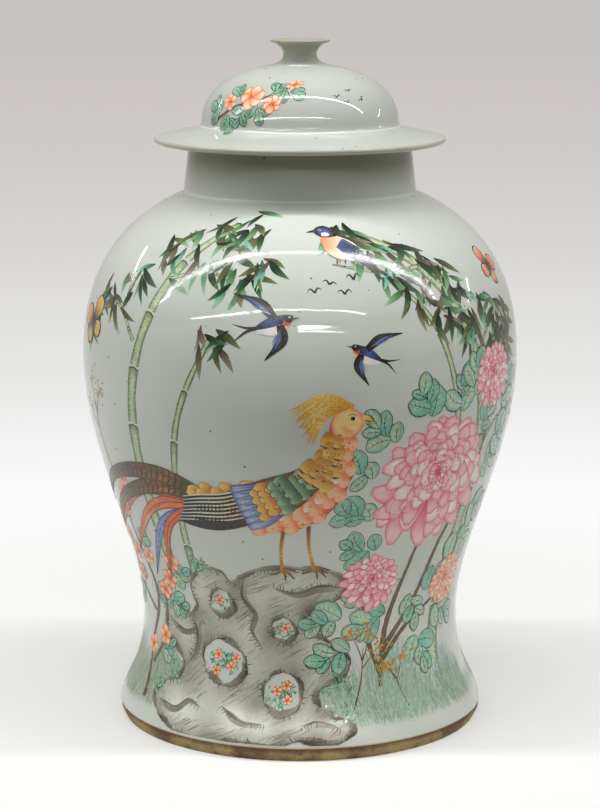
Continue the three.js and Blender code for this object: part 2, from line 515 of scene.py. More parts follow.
lid_outline = pairs(softened(lid_outline, dome_foot, dome_fillet))
print("lid outline", len(lid_outline), "points, top", round(lid_outline[:, 1].max() / MM, 2), "mm")

# %% [markdown]
# ## Turning the outline with Geometry Nodes
# Curve to Mesh sweeps the outline round a circle. It lays X along the circle's normal and Y along
# the binormal, which points down, so the outline is handed over as distance from a circle of one
# metre and as depth. The seam and the poles are merged, and the bare foot gets its own material.


# %% Tree that turns an outline
def group_tree(name, **sockets):
    """A geometry tree with named inputs, its desk and its first input."""
    tree = bpy.data.node_groups.new(name, "GeometryNodeTree")
    tree.interface.new_socket("Geometry", in_out="OUTPUT", socket_type="NodeSocketGeometry")
    for label, kind in {"Geometry": "Geometry", **sockets}.items():
        tree.interface.new_socket(label, in_out="INPUT", socket_type="NodeSocket" + kind)
    desk = Desk(tree)
    return tree, desk, desk.add("NodeGroupInput")


def wheel_tree():
    tree, desk, entry = group_tree(
        "turn_on_wheel", Facets="Int", Circle="Float", Glaze="Material", Clay="Material",
        Bare_Below="Float", Bare_Beyond="Float",
    )
    circle_inputs = {"Resolution": entry.out("Facets"), "Radius": entry.out("Circle")}
    circle = desk.add("GeometryNodeCurvePrimitiveCircle", circle_inputs)
    line = desk.add("GeometryNodeMeshToCurve", {"Mesh": entry})
    swept = desk.add("GeometryNodeCurveToMesh", {"Curve": circle, "Profile Curve": line})
    closed = desk.add("GeometryNodeMergeByDistance", {"Geometry": swept, "Distance": 1e-6})
    place = desk.add("GeometryNodeInputPosition")
    height = desk.parts(place)
    reach = desk.vector("LENGTH", desk.vector("MULTIPLY", place, (1, 1, 0)), output="Value")
    low = height.math("LESS_THAN", height, entry.out("Bare_Below"))
    wide = reach.math("GREATER_THAN", reach, entry.out("Bare_Beyond"))
    glazed = desk.add("GeometryNodeSetMaterial", {"Geometry": closed, "Material": entry.out("Glaze")})
    bare = {"Geometry": glazed, "Selection": low * wide, "Material": entry.out("Clay")}
    desk.add("NodeGroupOutput", {"Geometry": desk.add("GeometryNodeSetMaterial", bare)})
    return tree


def run_tree(thing, tree, values):
    """Runs a tree on an object and keeps the result as a plain mesh."""
    modifier = thing.modifiers.new(tree.name, "NODES")
    modifier.node_group = tree
    identifiers = {item.name: item.identifier for item in tree.interface.items_tree}
    for name, value in values.items():
        modifier[identifiers[name]] = value
    bpy.context.view_layer.update()
    graph = bpy.context.evaluated_depsgraph_get()
    mesh = bpy.data.meshes.new_from_object(thing.evaluated_get(graph))
    thing.modifiers.clear()
    old = thing.data
    thing.data = mesh
    bpy.data.meshes.remove(old)
    mesh.name = thing.name
    if mesh.materials[0] is None:
        mesh.materials.pop(index=0)


def finish_piece(thing, body):
    """Smooth shading with sharp corners kept, and the piece's body."""
    thing.data.shade_smooth()
    thing.data.set_sharp_from_angle(angle=math.radians(50))
    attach(thing, body)
    print(thing.name, len(thing.data.polygons), "faces")


def turned(node, body, outline, glaze, bare_below=0.0, bare_beyond=0.0):
    """The piece that the wheel makes of an outline, in place of the CAD node."""
    circle = 1.0
    points = [(radius - circle, -height, 0) for radius, height in outline]
    thing = new_object(body + "_glazed", points, [(i, i + 1) for i in range(len(points) - 1)])
    run_tree(thing, wheel, {"Facets": facets, "Circle": circle, "Glaze": glaze, "Clay": bare_foot,
        "Bare_Below": bare_below, "Bare_Beyond": bare_beyond})
    work = bmesh.new()
    work.from_mesh(thing.data)
    bmesh.ops.remove_doubles(work, verts=work.verts, dist=1e-7)
    bmesh.ops.recalc_face_normals(work, faces=work.faces)
    work.to_mesh(thing.data)
    work.free()
    finish_piece(thing, body)
    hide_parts(node)


wheel = wheel_tree()
print("tree", wheel.name, "with", len(wheel.nodes), "nodes")

# %% [markdown]
# ## Glaze and bare clay
# A white glaze with a breath of blue-green over a grey-white body. Its gloss ripples with the
# throwing rings, tiny iron specks come through, and it is thin and warm on edges. A darker tone on
# the neck under the brim and round the knob is painted shade, pale lines in two corners are painted
# highlights, and the lid's glaze is painted a little darker as shade. The foot is bare clay, fired
# brown and rubbed by use.

# %% Glaze
glaze_tones = (214, 221, 211), (221, 226, 218)
speck_cells, speck_size = 110.0, (0.045, 0.085)


def glaze_material(name, shade, grit, edges):
    """Glossy glaze; a `shade` under 1 paints it darker as shade. `edges`: heights of thin glaze and painted
    light.
    """
    material, desk, shader, place = new_material(name)
    height = desk.parts(place)
    cloud = desk.noise(place, 14.0, 3.0)
    tones = [srgb(*(shade * part for part in tone)) for tone in glaze_tones]
    tint = desk.mix(cloud.ramp(0.35, 0.65), *tones)
    for level, spread, colour in edges:
        gap = height - level
        near = 1.0 - gap.math("ABSOLUTE", gap).ramp(0.2 * spread, spread)
        tint = desk.mix(near * 0.7, tint, colour)
    speck = desk.add("TexVoronoi", {"Vector": place, "Scale": speck_cells}, "Distance")
    chance = desk.add("SeparateColor", {"Color": speck.out("Color")}, "Red")
    dot = (1.0 - speck.ramp(*speck_size)) * chance.math("GREATER_THAN", chance, 1.0 - grit)
    tint = desk.mix(dot * 0.9, tint, srgb(70, 60, 44))
    fine, slow = desk.noise(place, 260.0, 2.0), desk.noise(place, 22.0, 2.0)
    stretched = desk.add("Mapping", {"Vector": place, "Scale": (3.0, 3.0, 160.0)})
    ripple = slow * 0.5 + desk.noise(stretched, 1.0, 1.0) * 0.06 + fine * 0.008 - dot * 0.1
    skin = desk.bump(ripple, 0.35, 1.2 * MM)
    inputs = {"Base Color": tint, "Roughness": 0.02 + 0.04 * fine, "IOR": 1.5, "Normal": skin}
    desk.put(shader.socket.node, inputs)
    return material


def foot_material():
    """Bare clay of the foot ring, brown, with rubbed golden patches on the bevel."""
    material, desk, shader, place = new_material("bare_foot")
    height = desk.parts(place)
    grain = desk.noise(place, 900.0, 4.0, 0.7)
    patch = desk.noise(place, 45.0, 3.0)
    spots = desk.noise(place, 170.0, 4.0, 0.65)
    bevel = 1.0 - height.ramp(foot_bevel_rise - 0.4 * MM, foot_bevel_rise + 2.2 * MM)
    scorched = height.ramp(foot_band_height - 1.3 * MM, foot_band_height - 0.5 * MM)
    tint = desk.mix(patch.ramp(0.38, 0.62), srgb(92, 70, 46), srgb(146, 124, 82))
    for factor, colour in (
        (bevel * patch.ramp(0.3, 0.6) * 0.85, srgb(186, 164, 106)),
        (spots.ramp(0.5, 0.66) * 0.7, srgb(84, 62, 42)),
        (grain.ramp(0.5, 0.8) * 0.5, srgb(62, 48, 34)),
        (scorched * spots.ramp(0.35, 0.5) * 0.8, srgb(112, 62, 36)),
    ):
        tint = desk.mix(factor, tint, colour)
    skin = desk.bump(grain, 0.5, 0.3 * MM)
    desk.put(shader.socket.node, {"Base Color": tint, "Roughness": 0.6 + 0.25 * grain, "Normal": skin})
    return material


# warm is thin glaze on edges; the darker grey-olive tone is painted shade, and thin glaze on the knob's rim
warm, shade_and_thin_glaze = srgb(202, 193, 168), srgb(164, 160, 134)
# burnt is the iron-red edge of the glaze; the near-white tone is a painted highlight line
burnt, painted_highlight_line = srgb(196, 160, 116), srgb(244, 248, 246)
brim_edge = seat_height - brim_droop + brim_edge_thickness / 2
jar_glaze = glaze_material("glaze_on_body", 1.0, 0.4, [
    # painted shade: a darker band over the neck under the lid's brim
    (rim_height, 27 * MM, shade_and_thin_glaze),
    (rim_height, 2 * MM, warm),
    # a painted highlight line in the corner at the neck's foot
    (neck_base_height + 0.7 * MM, 0.9 * MM, painted_highlight_line),
    (foot_band_height + 0.2 * MM, 1.1 * MM, burnt),
])
# The lid's glaze is the body's glaze painted darker by a factor of 0.9, as painted shade.
lid_glaze = glaze_material("glaze_on_lid", 0.9, 0.9, [
    # painted shade over the knob and round its foot, which also stands for thin glaze on the knob's rim
    (crown_height + knob_height, 16 * MM, shade_and_thin_glaze),
    (brim_edge, 1.9 * MM, warm),
    # a painted highlight line at the dome's foot
    (dome_base + 0.4 * MM, 0.5 * MM, painted_highlight_line),
])
bare_foot = foot_material()
print("materials", jar_glaze.name, lid_glaze.name, bare_foot.name)

# %% Turn the body and the lid
facets = 224
turned("jar_body", "jar", body_outline, jar_glaze, foot_band_height, recess_radius)
turned("lid", "lid", lid_outline, lid_glaze)

# %% [markdown]
# ## Painting on the glaze
# Enamel is ground glass and metal oxides, laid on the fired glaze with a brush. Outlines and washes
# sink to almost nothing, and thick green and white stand proud enough to feel. An image would be
# flat, so each stroke and field is a thin closed lens. It is drawn flat, X along the girth and Y up
# the side, and a tree of Geometry Nodes lays it round the jar: at the length Y it reads the
# outline's radius, height and direction. A second tree first sets a brush mark on each point.


# %% Trees that lay enamel round the jar
def point_value(desk, name, kind="FLOAT"):
    return desk.add("GeometryNodeInputNamedAttribute", {"Name": name}, "Attribute", data_type=kind)


def lay_round(desk, geometry, entry):
    """Bends painting coordinates round the vessel: X along the girth, Y up the outline."""
    outline = desk.add("GeometryNodeObjectInfo", {"Object": entry.out("Outline")}, "Geometry")
    line = desk.add("GeometryNodeMeshToCurve", {"Mesh": outline})
    flat = desk.parts(desk.add("GeometryNodeInputPosition"), "X")
    samples = {"Curves": line, "Length": flat.out("Y")}
    on_line = desk.add("GeometryNodeSampleCurve", samples, "Position", mode="LENGTH")
    spot, along = desk.parts(on_line, "X"), desk.parts(on_line.out("Tangent"), "X")
    angle = point_value(desk, "bearing") + flat / spot
    radius = spot + flat.out("Z") * along.out("Z")
    height = spot.out("Z") - flat.out("Z") * along
    east, north = radius * angle.math("SINE", angle), 0 - radius * angle.math("COSINE", angle)
    place = desk.add("CombineXYZ", {"X": east, "Y": north, "Z": height})
    moved = desk.add("GeometryNodeSetPosition", {"Geometry": geometry, "Position": place})
    painted = desk.add("GeometryNodeSetMaterial", {"Geometry": moved, "Material": entry.out("Enamel")})
    desk.add("NodeGroupOutput", {"Geometry": painted})


def enamel_tree():
    tree, desk, entry = group_tree("lay_enamel", Outline="Object", Enamel="Material")
    lay_round(desk, entry, entry)
    return tree


def marks_tree():
    """Sets a brush mark on every point, turned and stretched as the point says."""
    tree, desk, entry = group_tree("lay_marks", Mark="Object", Outline="Object", Enamel="Material")
    mark = desk.add("GeometryNodeObjectInfo", {"Object": entry.out("Mark")}, "Geometry")
    spin = desk.add("CombineXYZ", {"Z": point_value(desk, "turn")})
    reach = point_value(desk, "reach", "FLOAT_VECTOR")
    inputs = {"Points": entry, "Instance": mark, "Rotation": spin, "Scale": reach}
    copies = desk.add("GeometryNodeInstanceOnPoints", inputs)
    lay_round(desk, desk.add("GeometryNodeRealizeInstances", {"Geometry": copies}), entry)
    return tree


enamel_layer, marks_layer = enamel_tree(), marks_tree()
print("trees", enamel_layer.name, marks_layer.name)

# %% [markdown]
# ## Brushes
# A stroke is a ribbon whose width follows the pressure of the brush. A petal is a stroke so wide
# that it has a shape and a blend of colours. A field is any outline, filled. Marks that come in
# hundreds, such as grass and moss, are only points here, and the tree sets a mark on each.

# %% Brush helpers
layer_step, sunk, paint_limit = 0.011 * MM, 0.003 * MM, 0.25 * MM


def smooth(points, spacing=2.2):
    """A smooth path through points, with stations about that many millimetres apart."""
    points = np.atleast_2d(np.array(points, float))
    if len(points) < 3:
        points = np.array([points[0], (points[0] + points[-1]) / 2, points[-1]])
    padded = np.vstack([2 * points[0] - points[1], points, 2 * points[-1] - points[-2]])
    path = []
    for before, start, end, after in zip(padded, padded[1:], padded[2:], padded[3:]):
        steps = max(2, math.ceil(norm(end - start) / spacing))
        share = np.linspace(0, 1, steps, endpoint=False)[:, None]
        bow = (2 * before - 5 * start + 4 * end - after) * share**2
        bend = (3 * start - before - 3 * end + after) * share**3
        path.append(start + 0.5 * ((end - before) * share + bow + bend))
    return np.vstack(path + [points[-1:]])


def shares_of(path):
    length = np.r_[0, np.cumsum(norm(np.diff(path, axis=0), axis=1))]
    return length / length[-1]


def slope_of(path):
    """A path's direction at each station, in degrees."""
    return np.degrees(np.arctan2(*np.gradient(path, axis=0).T[::-1]))


def sideways(path):
    along = np.gradient(path, axis=0)
    along /= norm(along, axis=1)[:, None] + 1e-9
    return np.stack([-along[:, 1], along[:, 0]], 1)


def blend(stops, share):
    """Colours at the given shares along a row of stops, ready for a shader."""
    stops = np.atleast_2d(np.array(stops, float))
    if len(stops) == 1:
        stops = np.repeat(stops, 2, axis=0)
    knots = np.linspace(0, 1, len(stops))
    return light(np.stack([np.interp(share, knots, stops[:, band]) for band in range(3)], -1))


def pressure(profile, share):
    """A soft curve through evenly spaced values of pressure."""
    profile = np.array(profile, float)
    slope = np.gradient(profile)
    share = np.clip(share, 0, 1) * (len(profile) - 1)
    first = np.minimum(np.floor(share).astype(int), len(profile) - 2)
    step = share - first
    rest = 1 - step
    ends = rest**2 * (1 + 2 * step) * profile[first] + step**2 * (3 - 2 * step) * profile[first + 1]
    return np.maximum(ends + step * rest * (rest * slope[first] - step * slope[first + 1]), 0.02)


def segments_of(loops):
    return np.vstack([np.stack([loop, np.roll(loop, -1, 0)], 1) for loop in loops])


def edge_gap(points, segments):
    """Distance to the nearest segment, and that segment's slope in degrees."""
    start, end = segments[:, 0], segments[:, 1]
    along = end - start
    offset = points[:, None] - start[None]
    share = np.clip((offset * along[None]).sum(2) / ((along**2).sum(1) + 1e-12), 0, 1)
    away = norm(offset - share[..., None] * along[None], axis=2)
    nearest = along[away.argmin(1)]
    return away.min(1), np.degrees(np.arctan2(nearest[:, 1], nearest[:, 0]))


def in_loops(points, loops):
    """True inside the first loop and outside the others."""
    answer = None
    x, y = points[:, 0][:, None], points[:, 1][:, None]
    for start in loops:
        end = np.roll(start, -1, 0)
        crosses = (start[:, 1] > y) != (end[:, 1] > y)
        rise = np.where(np.abs(end[:, 1] - start[:, 1]) < 1e-12, 1e-12, end[:, 1] - start[:, 1])
        at = start[:, 0] + (y - start[:, 1]) * (end[:, 0] - start[:, 0]) / rise
        odd = (crosses & (x < at)).sum(1) % 2 == 1
        answer = odd if answer is None else answer & ~odd
    return answer


def drift(points, scale, seed):
    """A soft random value from 0 to 1 over the plane, for uneven washes."""
    random = default_rng(seed)
    total = np.zeros(len(points))
    for _ in range(6):
        angle, phase = random.random(2) * math.tau
        wave = math.tau / (scale * random.uniform(0.6, 1.8))
        total += np.sin((points[:, 0] * math.cos(angle) + points[:, 1] * math.sin(angle)) * wave + phase)
    return np.clip(0.5 + total / 6, 0, 1)


print("stations on a stroke of 30 mm", len(smooth([(0, 0), (30, 0)])))


# %% The surface under the brush
class Vessel:
    """The body or the lid to paint on, with a record of how thick the paint lies where."""

    cell = 2.5 * MM

    def __init__(self, name, outline, first_layer, grain):
        self.name, self.outline, self.first_layer, self.grain = name, outline, first_layer, grain
        self.length = np.r_[0, np.cumsum(norm(np.diff(outline, axis=0), axis=1))]
        edges = [(i, i + 1) for i in range(len(outline) - 1)]
        self.line = new_object(name + "_line", [(radius, 0, height) for radius, height in outline], edges)
        self.lenses, self.marks, self.held = {}, {}, None
        around = int(math.tau * outline[:, 0].max() / self.cell)
        self.thickness = np.full((int(self.length[-1] / self.cell) + 2, around), first_layer)

    def cells(self, flat, bearing, exact=False):
        """Where in the record painting coordinates fall."""
        angle = bearing + flat[:, 0] / np.interp(flat[:, 1], self.length, self.outline[:, 0])
        rows, columns = self.thickness.shape
        row = np.clip(flat[:, 1] / self.cell, 0, rows - 1)
        column = angle % math.tau / math.tau * columns
        return (row, column) if exact else (row.astype(int), column.astype(int) % columns)

    def settle(self, flat, bearing, rise, level):
        """The height at which a new stroke lies, after which its own thickness counts."""
        cells = self.cells(flat, bearing)
        source = self.thickness if self.held is None else self.held
        base = source[cells].max() + layer_step * level
        self.thickness[cells] = np.maximum(self.thickness[cells], base + (rise + 0.003) * MM)
        return base

    def fired(self, flat, bearing):
        """The points after firing, which sinks a thick stack until it fits its room."""
        thick = self.thickness
        rows, columns = thick.shape
        for merge in (np.max, np.max, np.max, np.mean, np.mean):
            padded = np.pad(np.pad(thick, ((1, 1), (0, 0)), mode="edge"), ((0, 0), (1, 1)), mode="wrap")
            shifts = [padded[i : i + rows, j : j + columns] for i in range(3) for j in range(3)]
            thick = merge(shifts, axis=0)
        row, column = (place - 0.5 for place in self.cells(flat, bearing, exact=True))
        low, left = np.floor(row).astype(int), np.floor(column).astype(int)
        up, right = row - low, column - left
        here = 0.0
        for i, share_up in enumerate((1 - up, up)):
            for j, share_right in enumerate((1 - right, right)):
                here += share_up * share_right * thick[np.clip(low + i, 0, rows - 1), (left + j) % columns]
        first, height = self.first_layer, flat[:, 2]
        share = np.minimum(1, (paint_limit - first) / np.maximum(here - first, 1e-9))
        height = np.where(height > first, first + (height - first) * share, height)
        return np.column_stack([flat[:, :2], height])

    @contextmanager
    def one_layer(self):
        """Strokes made inside lie beside each other."""
        outer = self.held
        self.held = self.thickness.copy() if outer is None else outer
        yield
        self.held = outer


print("cells of the record", round(Vessel.cell / MM, 1), "mm")


# %% A place to draw at
class Place:
    """A spot on a vessel to draw round: X to the right and Y up, in millimetres."""

    def __init__(self, vessel, degrees, height, turn=0.0, size=1.0, mirror=1):
        self.vessel, self.size, self.mirror = vessel, size, mirror
        self.bearing, self.turn = math.radians(degrees), math.radians(turn)
        self.base = np.interp(height * MM, vessel.outline[:, 1], vessel.length)
        self.grain = vessel.grain / max(size, 0.2)
        self.one_layer = vessel.one_layer

    def near(self, x, y, turn=0.0, size=1.0, mirror=1):
        """Another place, given by how far it is from this one."""
        flat = self.put([(x, y)])[0]
        radius = np.interp(flat[1], self.vessel.length, self.vessel.outline[:, 0])
        spot = Place(self.vessel, math.degrees(self.bearing + flat[0] / radius), 0, turn, size, mirror)
        spot.base = flat[1]
        return spot

    def put(self, points):
        """Painting coordinates of local points."""
        points = np.atleast_2d(points) * self.size * (self.mirror, 1)
        cos, sin = math.cos(self.turn), math.sin(self.turn)
        x = points[:, 0] * cos - points[:, 1] * sin
        y = points[:, 0] * sin + points[:, 1] * cos
        return np.stack([x * MM, y * MM + self.base], 1)

    def lay(self, enamel, points, faces, colours):
        """Adds a closed lens to its enamel. A mirrored one is turned the right way round."""
        row = points, np.full(len(points), self.bearing), colours, [face[:: self.mirror] for face in faces]
        self.vessel.lenses.setdefault(enamel, []).append(row)

    def shell(self, enamel, points, faces, edge, rise, colours, level):
        """A closed lens: the faces on top, the same below, and one shared edge."""
        flat = self.put(points)
        base = self.vessel.settle(flat, self.bearing, np.max(rise), level)
        inner = np.flatnonzero(~edge)
        below = np.arange(len(flat))
        below[inner] = len(flat) + np.arange(len(inner))
        top = np.column_stack([flat, base + rise * MM - np.where(edge, sunk, 0)])
        bottom = np.column_stack([flat[inner], np.full(len(inner), base - 1.5 * sunk)])
        under = [[int(below[index]) for index in face[::-1]] for face in faces]
        self.lay(enamel, np.vstack([top, bottom]), faces + under, np.vstack([colours, colours[inner]]))

    def stroke(self, enamel, points, width, colours, press=(0.35, 1, 0.8, 0.15), level=0.0, relief=0.006):
        """A line of the brush."""
        path = smooth(points, 2.6 * self.grain)
        share, count = shares_of(path), len(path)
        half = sideways(path) * (width / 2 * pressure(press, share))[:, None]
        flat = self.put(np.vstack([path + half, path, path - half]))
        base = self.vessel.settle(flat, self.bearing, relief, level)
        height = np.repeat([base - sunk, base + relief * MM, base - sunk], count)
        sides = ((0, count), (count, 2 * count), (2 * count, 0))
        faces = [[a + i, b + i, b + i + 1, a + i + 1] for i in range(count - 1) for a, b in sides]
        faces += [[0, 2 * count, count], [3 * count - 1, count - 1, 2 * count - 1]]
        self.lay(enamel, np.column_stack([flat, height]), faces, np.tile(blend(colours, share), (3, 1)))

    def ink(self, *line, **more):
        self.stroke("black", *line, **more)

    def petal(self, enamel, spine, width, colours, shape=(0.2, 0.9, 1, 0.6, 0.08), rim=None, level=0.0,
            across=4, relief=0.014, rim_power=2.5, wave=0.0, tilt=0.0):
        """A shaped patch along a spine. Returns its two sides, for outlining."""
        reach = norm(np.diff(np.array(spine, float), axis=0), axis=1).sum()
        path = smooth(spine, min(2.4 * self.grain, reach / 6))
        share, rows = shares_of(path), len(path)
        half = width / 2 * pressure(shape, share) * (1 + wave * np.abs(np.sin(math.pi * 3 * share)))
        across = max(across, math.ceil(width / (2.6 * self.grain)))
        columns = np.linspace(1, -1, across + 1)
        grid = path[:, None] + sideways(path)[:, None] * (half[:, None] * columns)[..., None]
        tint = np.repeat(blend(colours, share)[:, None], across + 1, 1)
        if rim is not None:
            tip = np.clip((share - 0.75) / 0.25, 0, 1)[:, None, None] ** 2
            weight = np.maximum((abs(columns) ** rim_power)[:, None], tip) * 0.95
            tint = tint * (1 - weight) + blend([rim], 0.0) * weight
        edge = np.ones((rows, across + 1), bool)
        edge[1:-1, 1:-1] = False
        dome = relief * np.sqrt(np.clip(1 - columns**2, 0, 1))
        rise = np.where(edge, 0, dome) + tilt * share[:, None]
        corners = [i * (across + 1) + j for i in range(rows - 1) for j in range(across)]
        faces = [[a, a + 1, a + across + 2, a + across + 1] for a in corners]
        points, tint = grid.reshape(-1, 2), tint.reshape(-1, 3)
        self.shell(enamel, points, faces, edge.ravel(), rise.ravel(), tint, level)
        return grid[:, 0], grid[:, -1]

    def field(self, enamel, outline, colour_at, holes=(), level=0.0, relief=0.012, spacing=2.4):
        """A filled outline with holes. `colour_at` takes places and edge distances."""
        spacing *= self.grain
        loops = [smooth(np.vstack([loop, loop[:1]]), spacing)[:-1] for loop in (outline, *holes)]
        rim, low, high = segments_of(loops), loops[0].min(0), loops[0].max(0)
        xs, ys = np.meshgrid(np.arange(low[0], high[0], spacing), np.arange(low[1], high[1], spacing))
        shift = (np.arange(len(ys)) % 2)[:, None] * spacing / 2
        inside = np.stack([(xs + shift).ravel(), ys.ravel()], 1)
        inside = inside[in_loops(inside, loops) & (edge_gap(inside, rim)[0] > 0.45 * spacing)]
        edges, start = [], 0
        for size in map(len, loops):
            edges += [(start + i, start + (i + 1) % size) for i in range(size)]
            start += size
        found = delaunay_2d_cdt([Vector(p) for p in np.vstack(loops + [inside])], edges, [], 0, 1e-6)
        spots, triangles = np.array([tuple(p) for p in found[0]]), np.array(found[2])
        triangles = triangles[in_loops(spots[triangles].mean(1), loops)]
        used, triangles = np.unique(triangles, return_inverse=True)
        spots, triangles = spots[used], triangles.reshape(-1, 3).tolist()
        gap = edge_gap(spots, rim)[0]
        rise = relief * np.clip(gap / 1.5, 0, 1)
        self.shell(enamel, spots, triangles, gap < 1e-3, rise, colour_at(spots, gap), level)
        return loops

    def marks(self, piece, enamel, points, turns, lengths, widths, colours, level=0.0, kind="blade"):
        """Points for small brush marks, with turns in degrees from upright."""
        flat = self.put(points)
        count = len(flat)
        cells = self.vessel.cells(flat, self.bearing)
        height = self.vessel.thickness[cells] + layer_step * level
        self.vessel.thickness[cells] = height + 0.012 * MM
        turns = self.turn + np.radians(np.broadcast_to(turns, count)) * self.mirror
        lengths, widths = (np.broadcast_to(v, count) * self.size * MM for v in (lengths, widths))
        reach = np.column_stack([widths, lengths, np.ones(count)])
        colours, bearings = np.broadcast_to(colours, (count, 3)), np.full(count, self.bearing)
        row = np.column_stack([flat, height]), bearings, colours, turns, reach
        self.vessel.marks.setdefault((piece, enamel, kind), []).append(row)


above_band = (body_outline[:, 1] > foot_band_height + 1.2 * MM) & (body_outline[:, 0] > waist_radius)
painted_side = body_outline[np.argmax(above_band) : np.argmax(body_outline[:, 1])]
jar = Vessel("jar", painted_side, 0.012 * MM, 1.0)
lid_top = lid_outline[np.argmax(lid_outline[:, 0]) :]
lid_top = lid_top[: np.argmax(lid_top[:, 0] < knob_foot_radius + 0.1 * MM)]
lid = Vessel("lid", lid_top[lid_top[:, 1] > brim_edge + 1.6 * MM], 0.02 * MM, 0.6)
for vessel in (jar, lid):
    print("painting length of the", vessel.name, round(vessel.length[-1] / MM, 1), "mm")

# %% [markdown]
# ## Pigments
# The palette of enamel on porcelain: rose pink, turquoise and leaf green, iron red thinned to coral,
# ochre yellow, a milky blue, and a brownish black for outlines. Washes are pale, because the white
# glaze shines through them, and only the outlines are dark.

# %% Pigments
paper = (216, 221, 209)
black, soot, ash = (36, 33, 28), (70, 64, 52), (122, 116, 100)
crimson, rose, blush, white = (198, 50, 90), (236, 110, 146), (248, 184, 192), (252, 242, 230)
rust, coral, peach = (200, 84, 38), (244, 132, 76), (250, 198, 158)
ochre, honey, straw = (184, 122, 36), (228, 170, 60), (242, 212, 134)
pine, green, mint, jade = (50, 76, 54), (108, 154, 106), (182, 220, 192), (118, 190, 166)
olive, moss, reed = (88, 92, 54), (140, 156, 104), (202, 220, 182)
slate, sky, ice = (80, 100, 164), (140, 164, 216), (218, 228, 238)
bark, umber = (132, 100, 62), (86, 62, 40)
pinks, corals = (crimson, rose, blush), (rust, coral, peach)
stone_dark, stone, stone_light = (116, 108, 92), (172, 172, 158), (198, 201, 188)
print("pinks", pinks, "corals", corals)

# %% [markdown]
# ## Motifs
# Each motif is a function of a place, so that the same flower or leaf can stand anywhere on the jar
# at any size and turn, and never twice alike because its random seed changes.


# %% Flowers
def heading(degrees):
    """The direction that points that way, and the one to its left."""
    angle = math.radians(degrees)
    way = np.array([math.cos(angle), math.sin(angle)])
    return way, np.array([-way[1], way[0]])


def bent(start, end, bow):
    """A line that bows to its left by a share of its length."""
    start, end = np.array(start, float), np.array(end, float)
    way = end - start
    return [start, start + way / 2 + np.array([-way[1], way[0]]) * bow, end]


def chrysanthemum(place, radius, seed, tones=pinks, rings=7, open_side=-90):
    """A many-petalled flower with its longest petals to one side."""
    random = default_rng(seed)
    deep, middle, pale = tones
    lean = math.radians(open_side)
    heart = -0.20 * radius * heading(open_side)[0]
    for ring in range(rings):
        share = ring / (rings - 1)
        count = round(19 - 9 * share)
        with place.one_layer():
            for number in range(count):
                angle = math.tau * (number + 0.5 * (ring % 2) + random.uniform(-0.18, 0.18)) / count
                toward = 0.5 + 0.5 * math.cos(angle - lean)
                reach = radius * (1 - 0.86 * share) * (0.74 + 0.34 * toward) * random.uniform(0.92, 1.06)
                way, left = heading(math.degrees(angle))
                root = heart + way * reach * (0.30 if share < 0.7 else 0.05)
                bow = left * random.uniform(-0.12, 0.12) * reach
                spine = [root, heart + way * reach * 0.68 + bow, heart + way * reach]
                width = (0.30 - 0.10 * share) * radius * random.uniform(0.85, 1.1)
                shades = [deep, *((middle, pale) if number % 3 else (pale, white)), white]
                sides = place.petal("pink", spine, width, shades, (0.35, 0.75, 1, 0.92, 0.3), rim=middle,
                    rim_power=5)
                for edge in sides:
                    place.stroke("pink", edge, 0.45, [deep, middle], (0.9, 1, 0.8, 0.5), level=1.2)
                place.stroke("pink", spine, 0.4, [deep, middle], (1, 0.7, 0.2, 0.05), level=1.6)


def blossom(place, centre, radius, seed, tones=corals, enamel="coral", petals=5):
    """A small open flower with stamens."""
    random = default_rng(seed)
    centre = np.array(centre, float)
    turn = random.random() * 360
    for number in range(petals):
        way = heading(turn + 360 * (number + random.uniform(-0.1, 0.1)) / petals)[0]
        reach = radius * random.uniform(0.88, 1.08)
        sides = place.petal(enamel, [centre + way * 0.1 * radius, centre + way * reach], radius * 0.95,
            [tones[1], tones[2], white], (0.2, 0.8, 1, 0.85, 0.3), rim=tones[1], relief=0.012)
        for edge in sides:
            place.stroke(enamel, edge, 0.34, [tones[0]], (0.6, 1, 0.8))
    for _ in range(7):
        way = heading(random.random() * 360)[0]
        place.stroke("yellow", [centre, centre + way * radius * 0.45], 0.4, [rust, honey])


def sprig(place, degrees, length, seed):
    """A dry stalk with clusters of small buds at its ends."""
    random = default_rng(seed)

    def stalk(root, lean, reach, width, depth):
        path = smooth(bent(root, root + heading(lean)[0] * reach, random.uniform(-0.08, 0.08)), 1.5)
        place.stroke("yellow", path, width, [umber, ochre], (1, 0.8, 0.5))
        if depth:
            for turn in (-34, 4, 38):
                here = path[int(random.uniform(0.55, 0.95) * (len(path) - 1))]
                stalk(here, lean + turn + random.uniform(-8, 8), reach * 0.5, width * 0.7, depth - 1)
            return
        with place.one_layer():
            for _ in range(16):
                spot = path[-1] + random.normal(0, 0.11 * length, 2) * (1, 0.8)
                drop = heading(random.uniform(0, 360))[0] * random.uniform(1.2, 2.4)
                place.stroke("yellow", [spot, spot + drop], 1.3, [ochre, honey], (0.5, 1, 0.6), relief=0.03)
                place.ink([spot + drop * 0.2, spot + drop * 0.9], 0.3, [umber], level=2.2)

    stalk(np.zeros(2), degrees, length, 0.9, 1)


print("flowers ready")


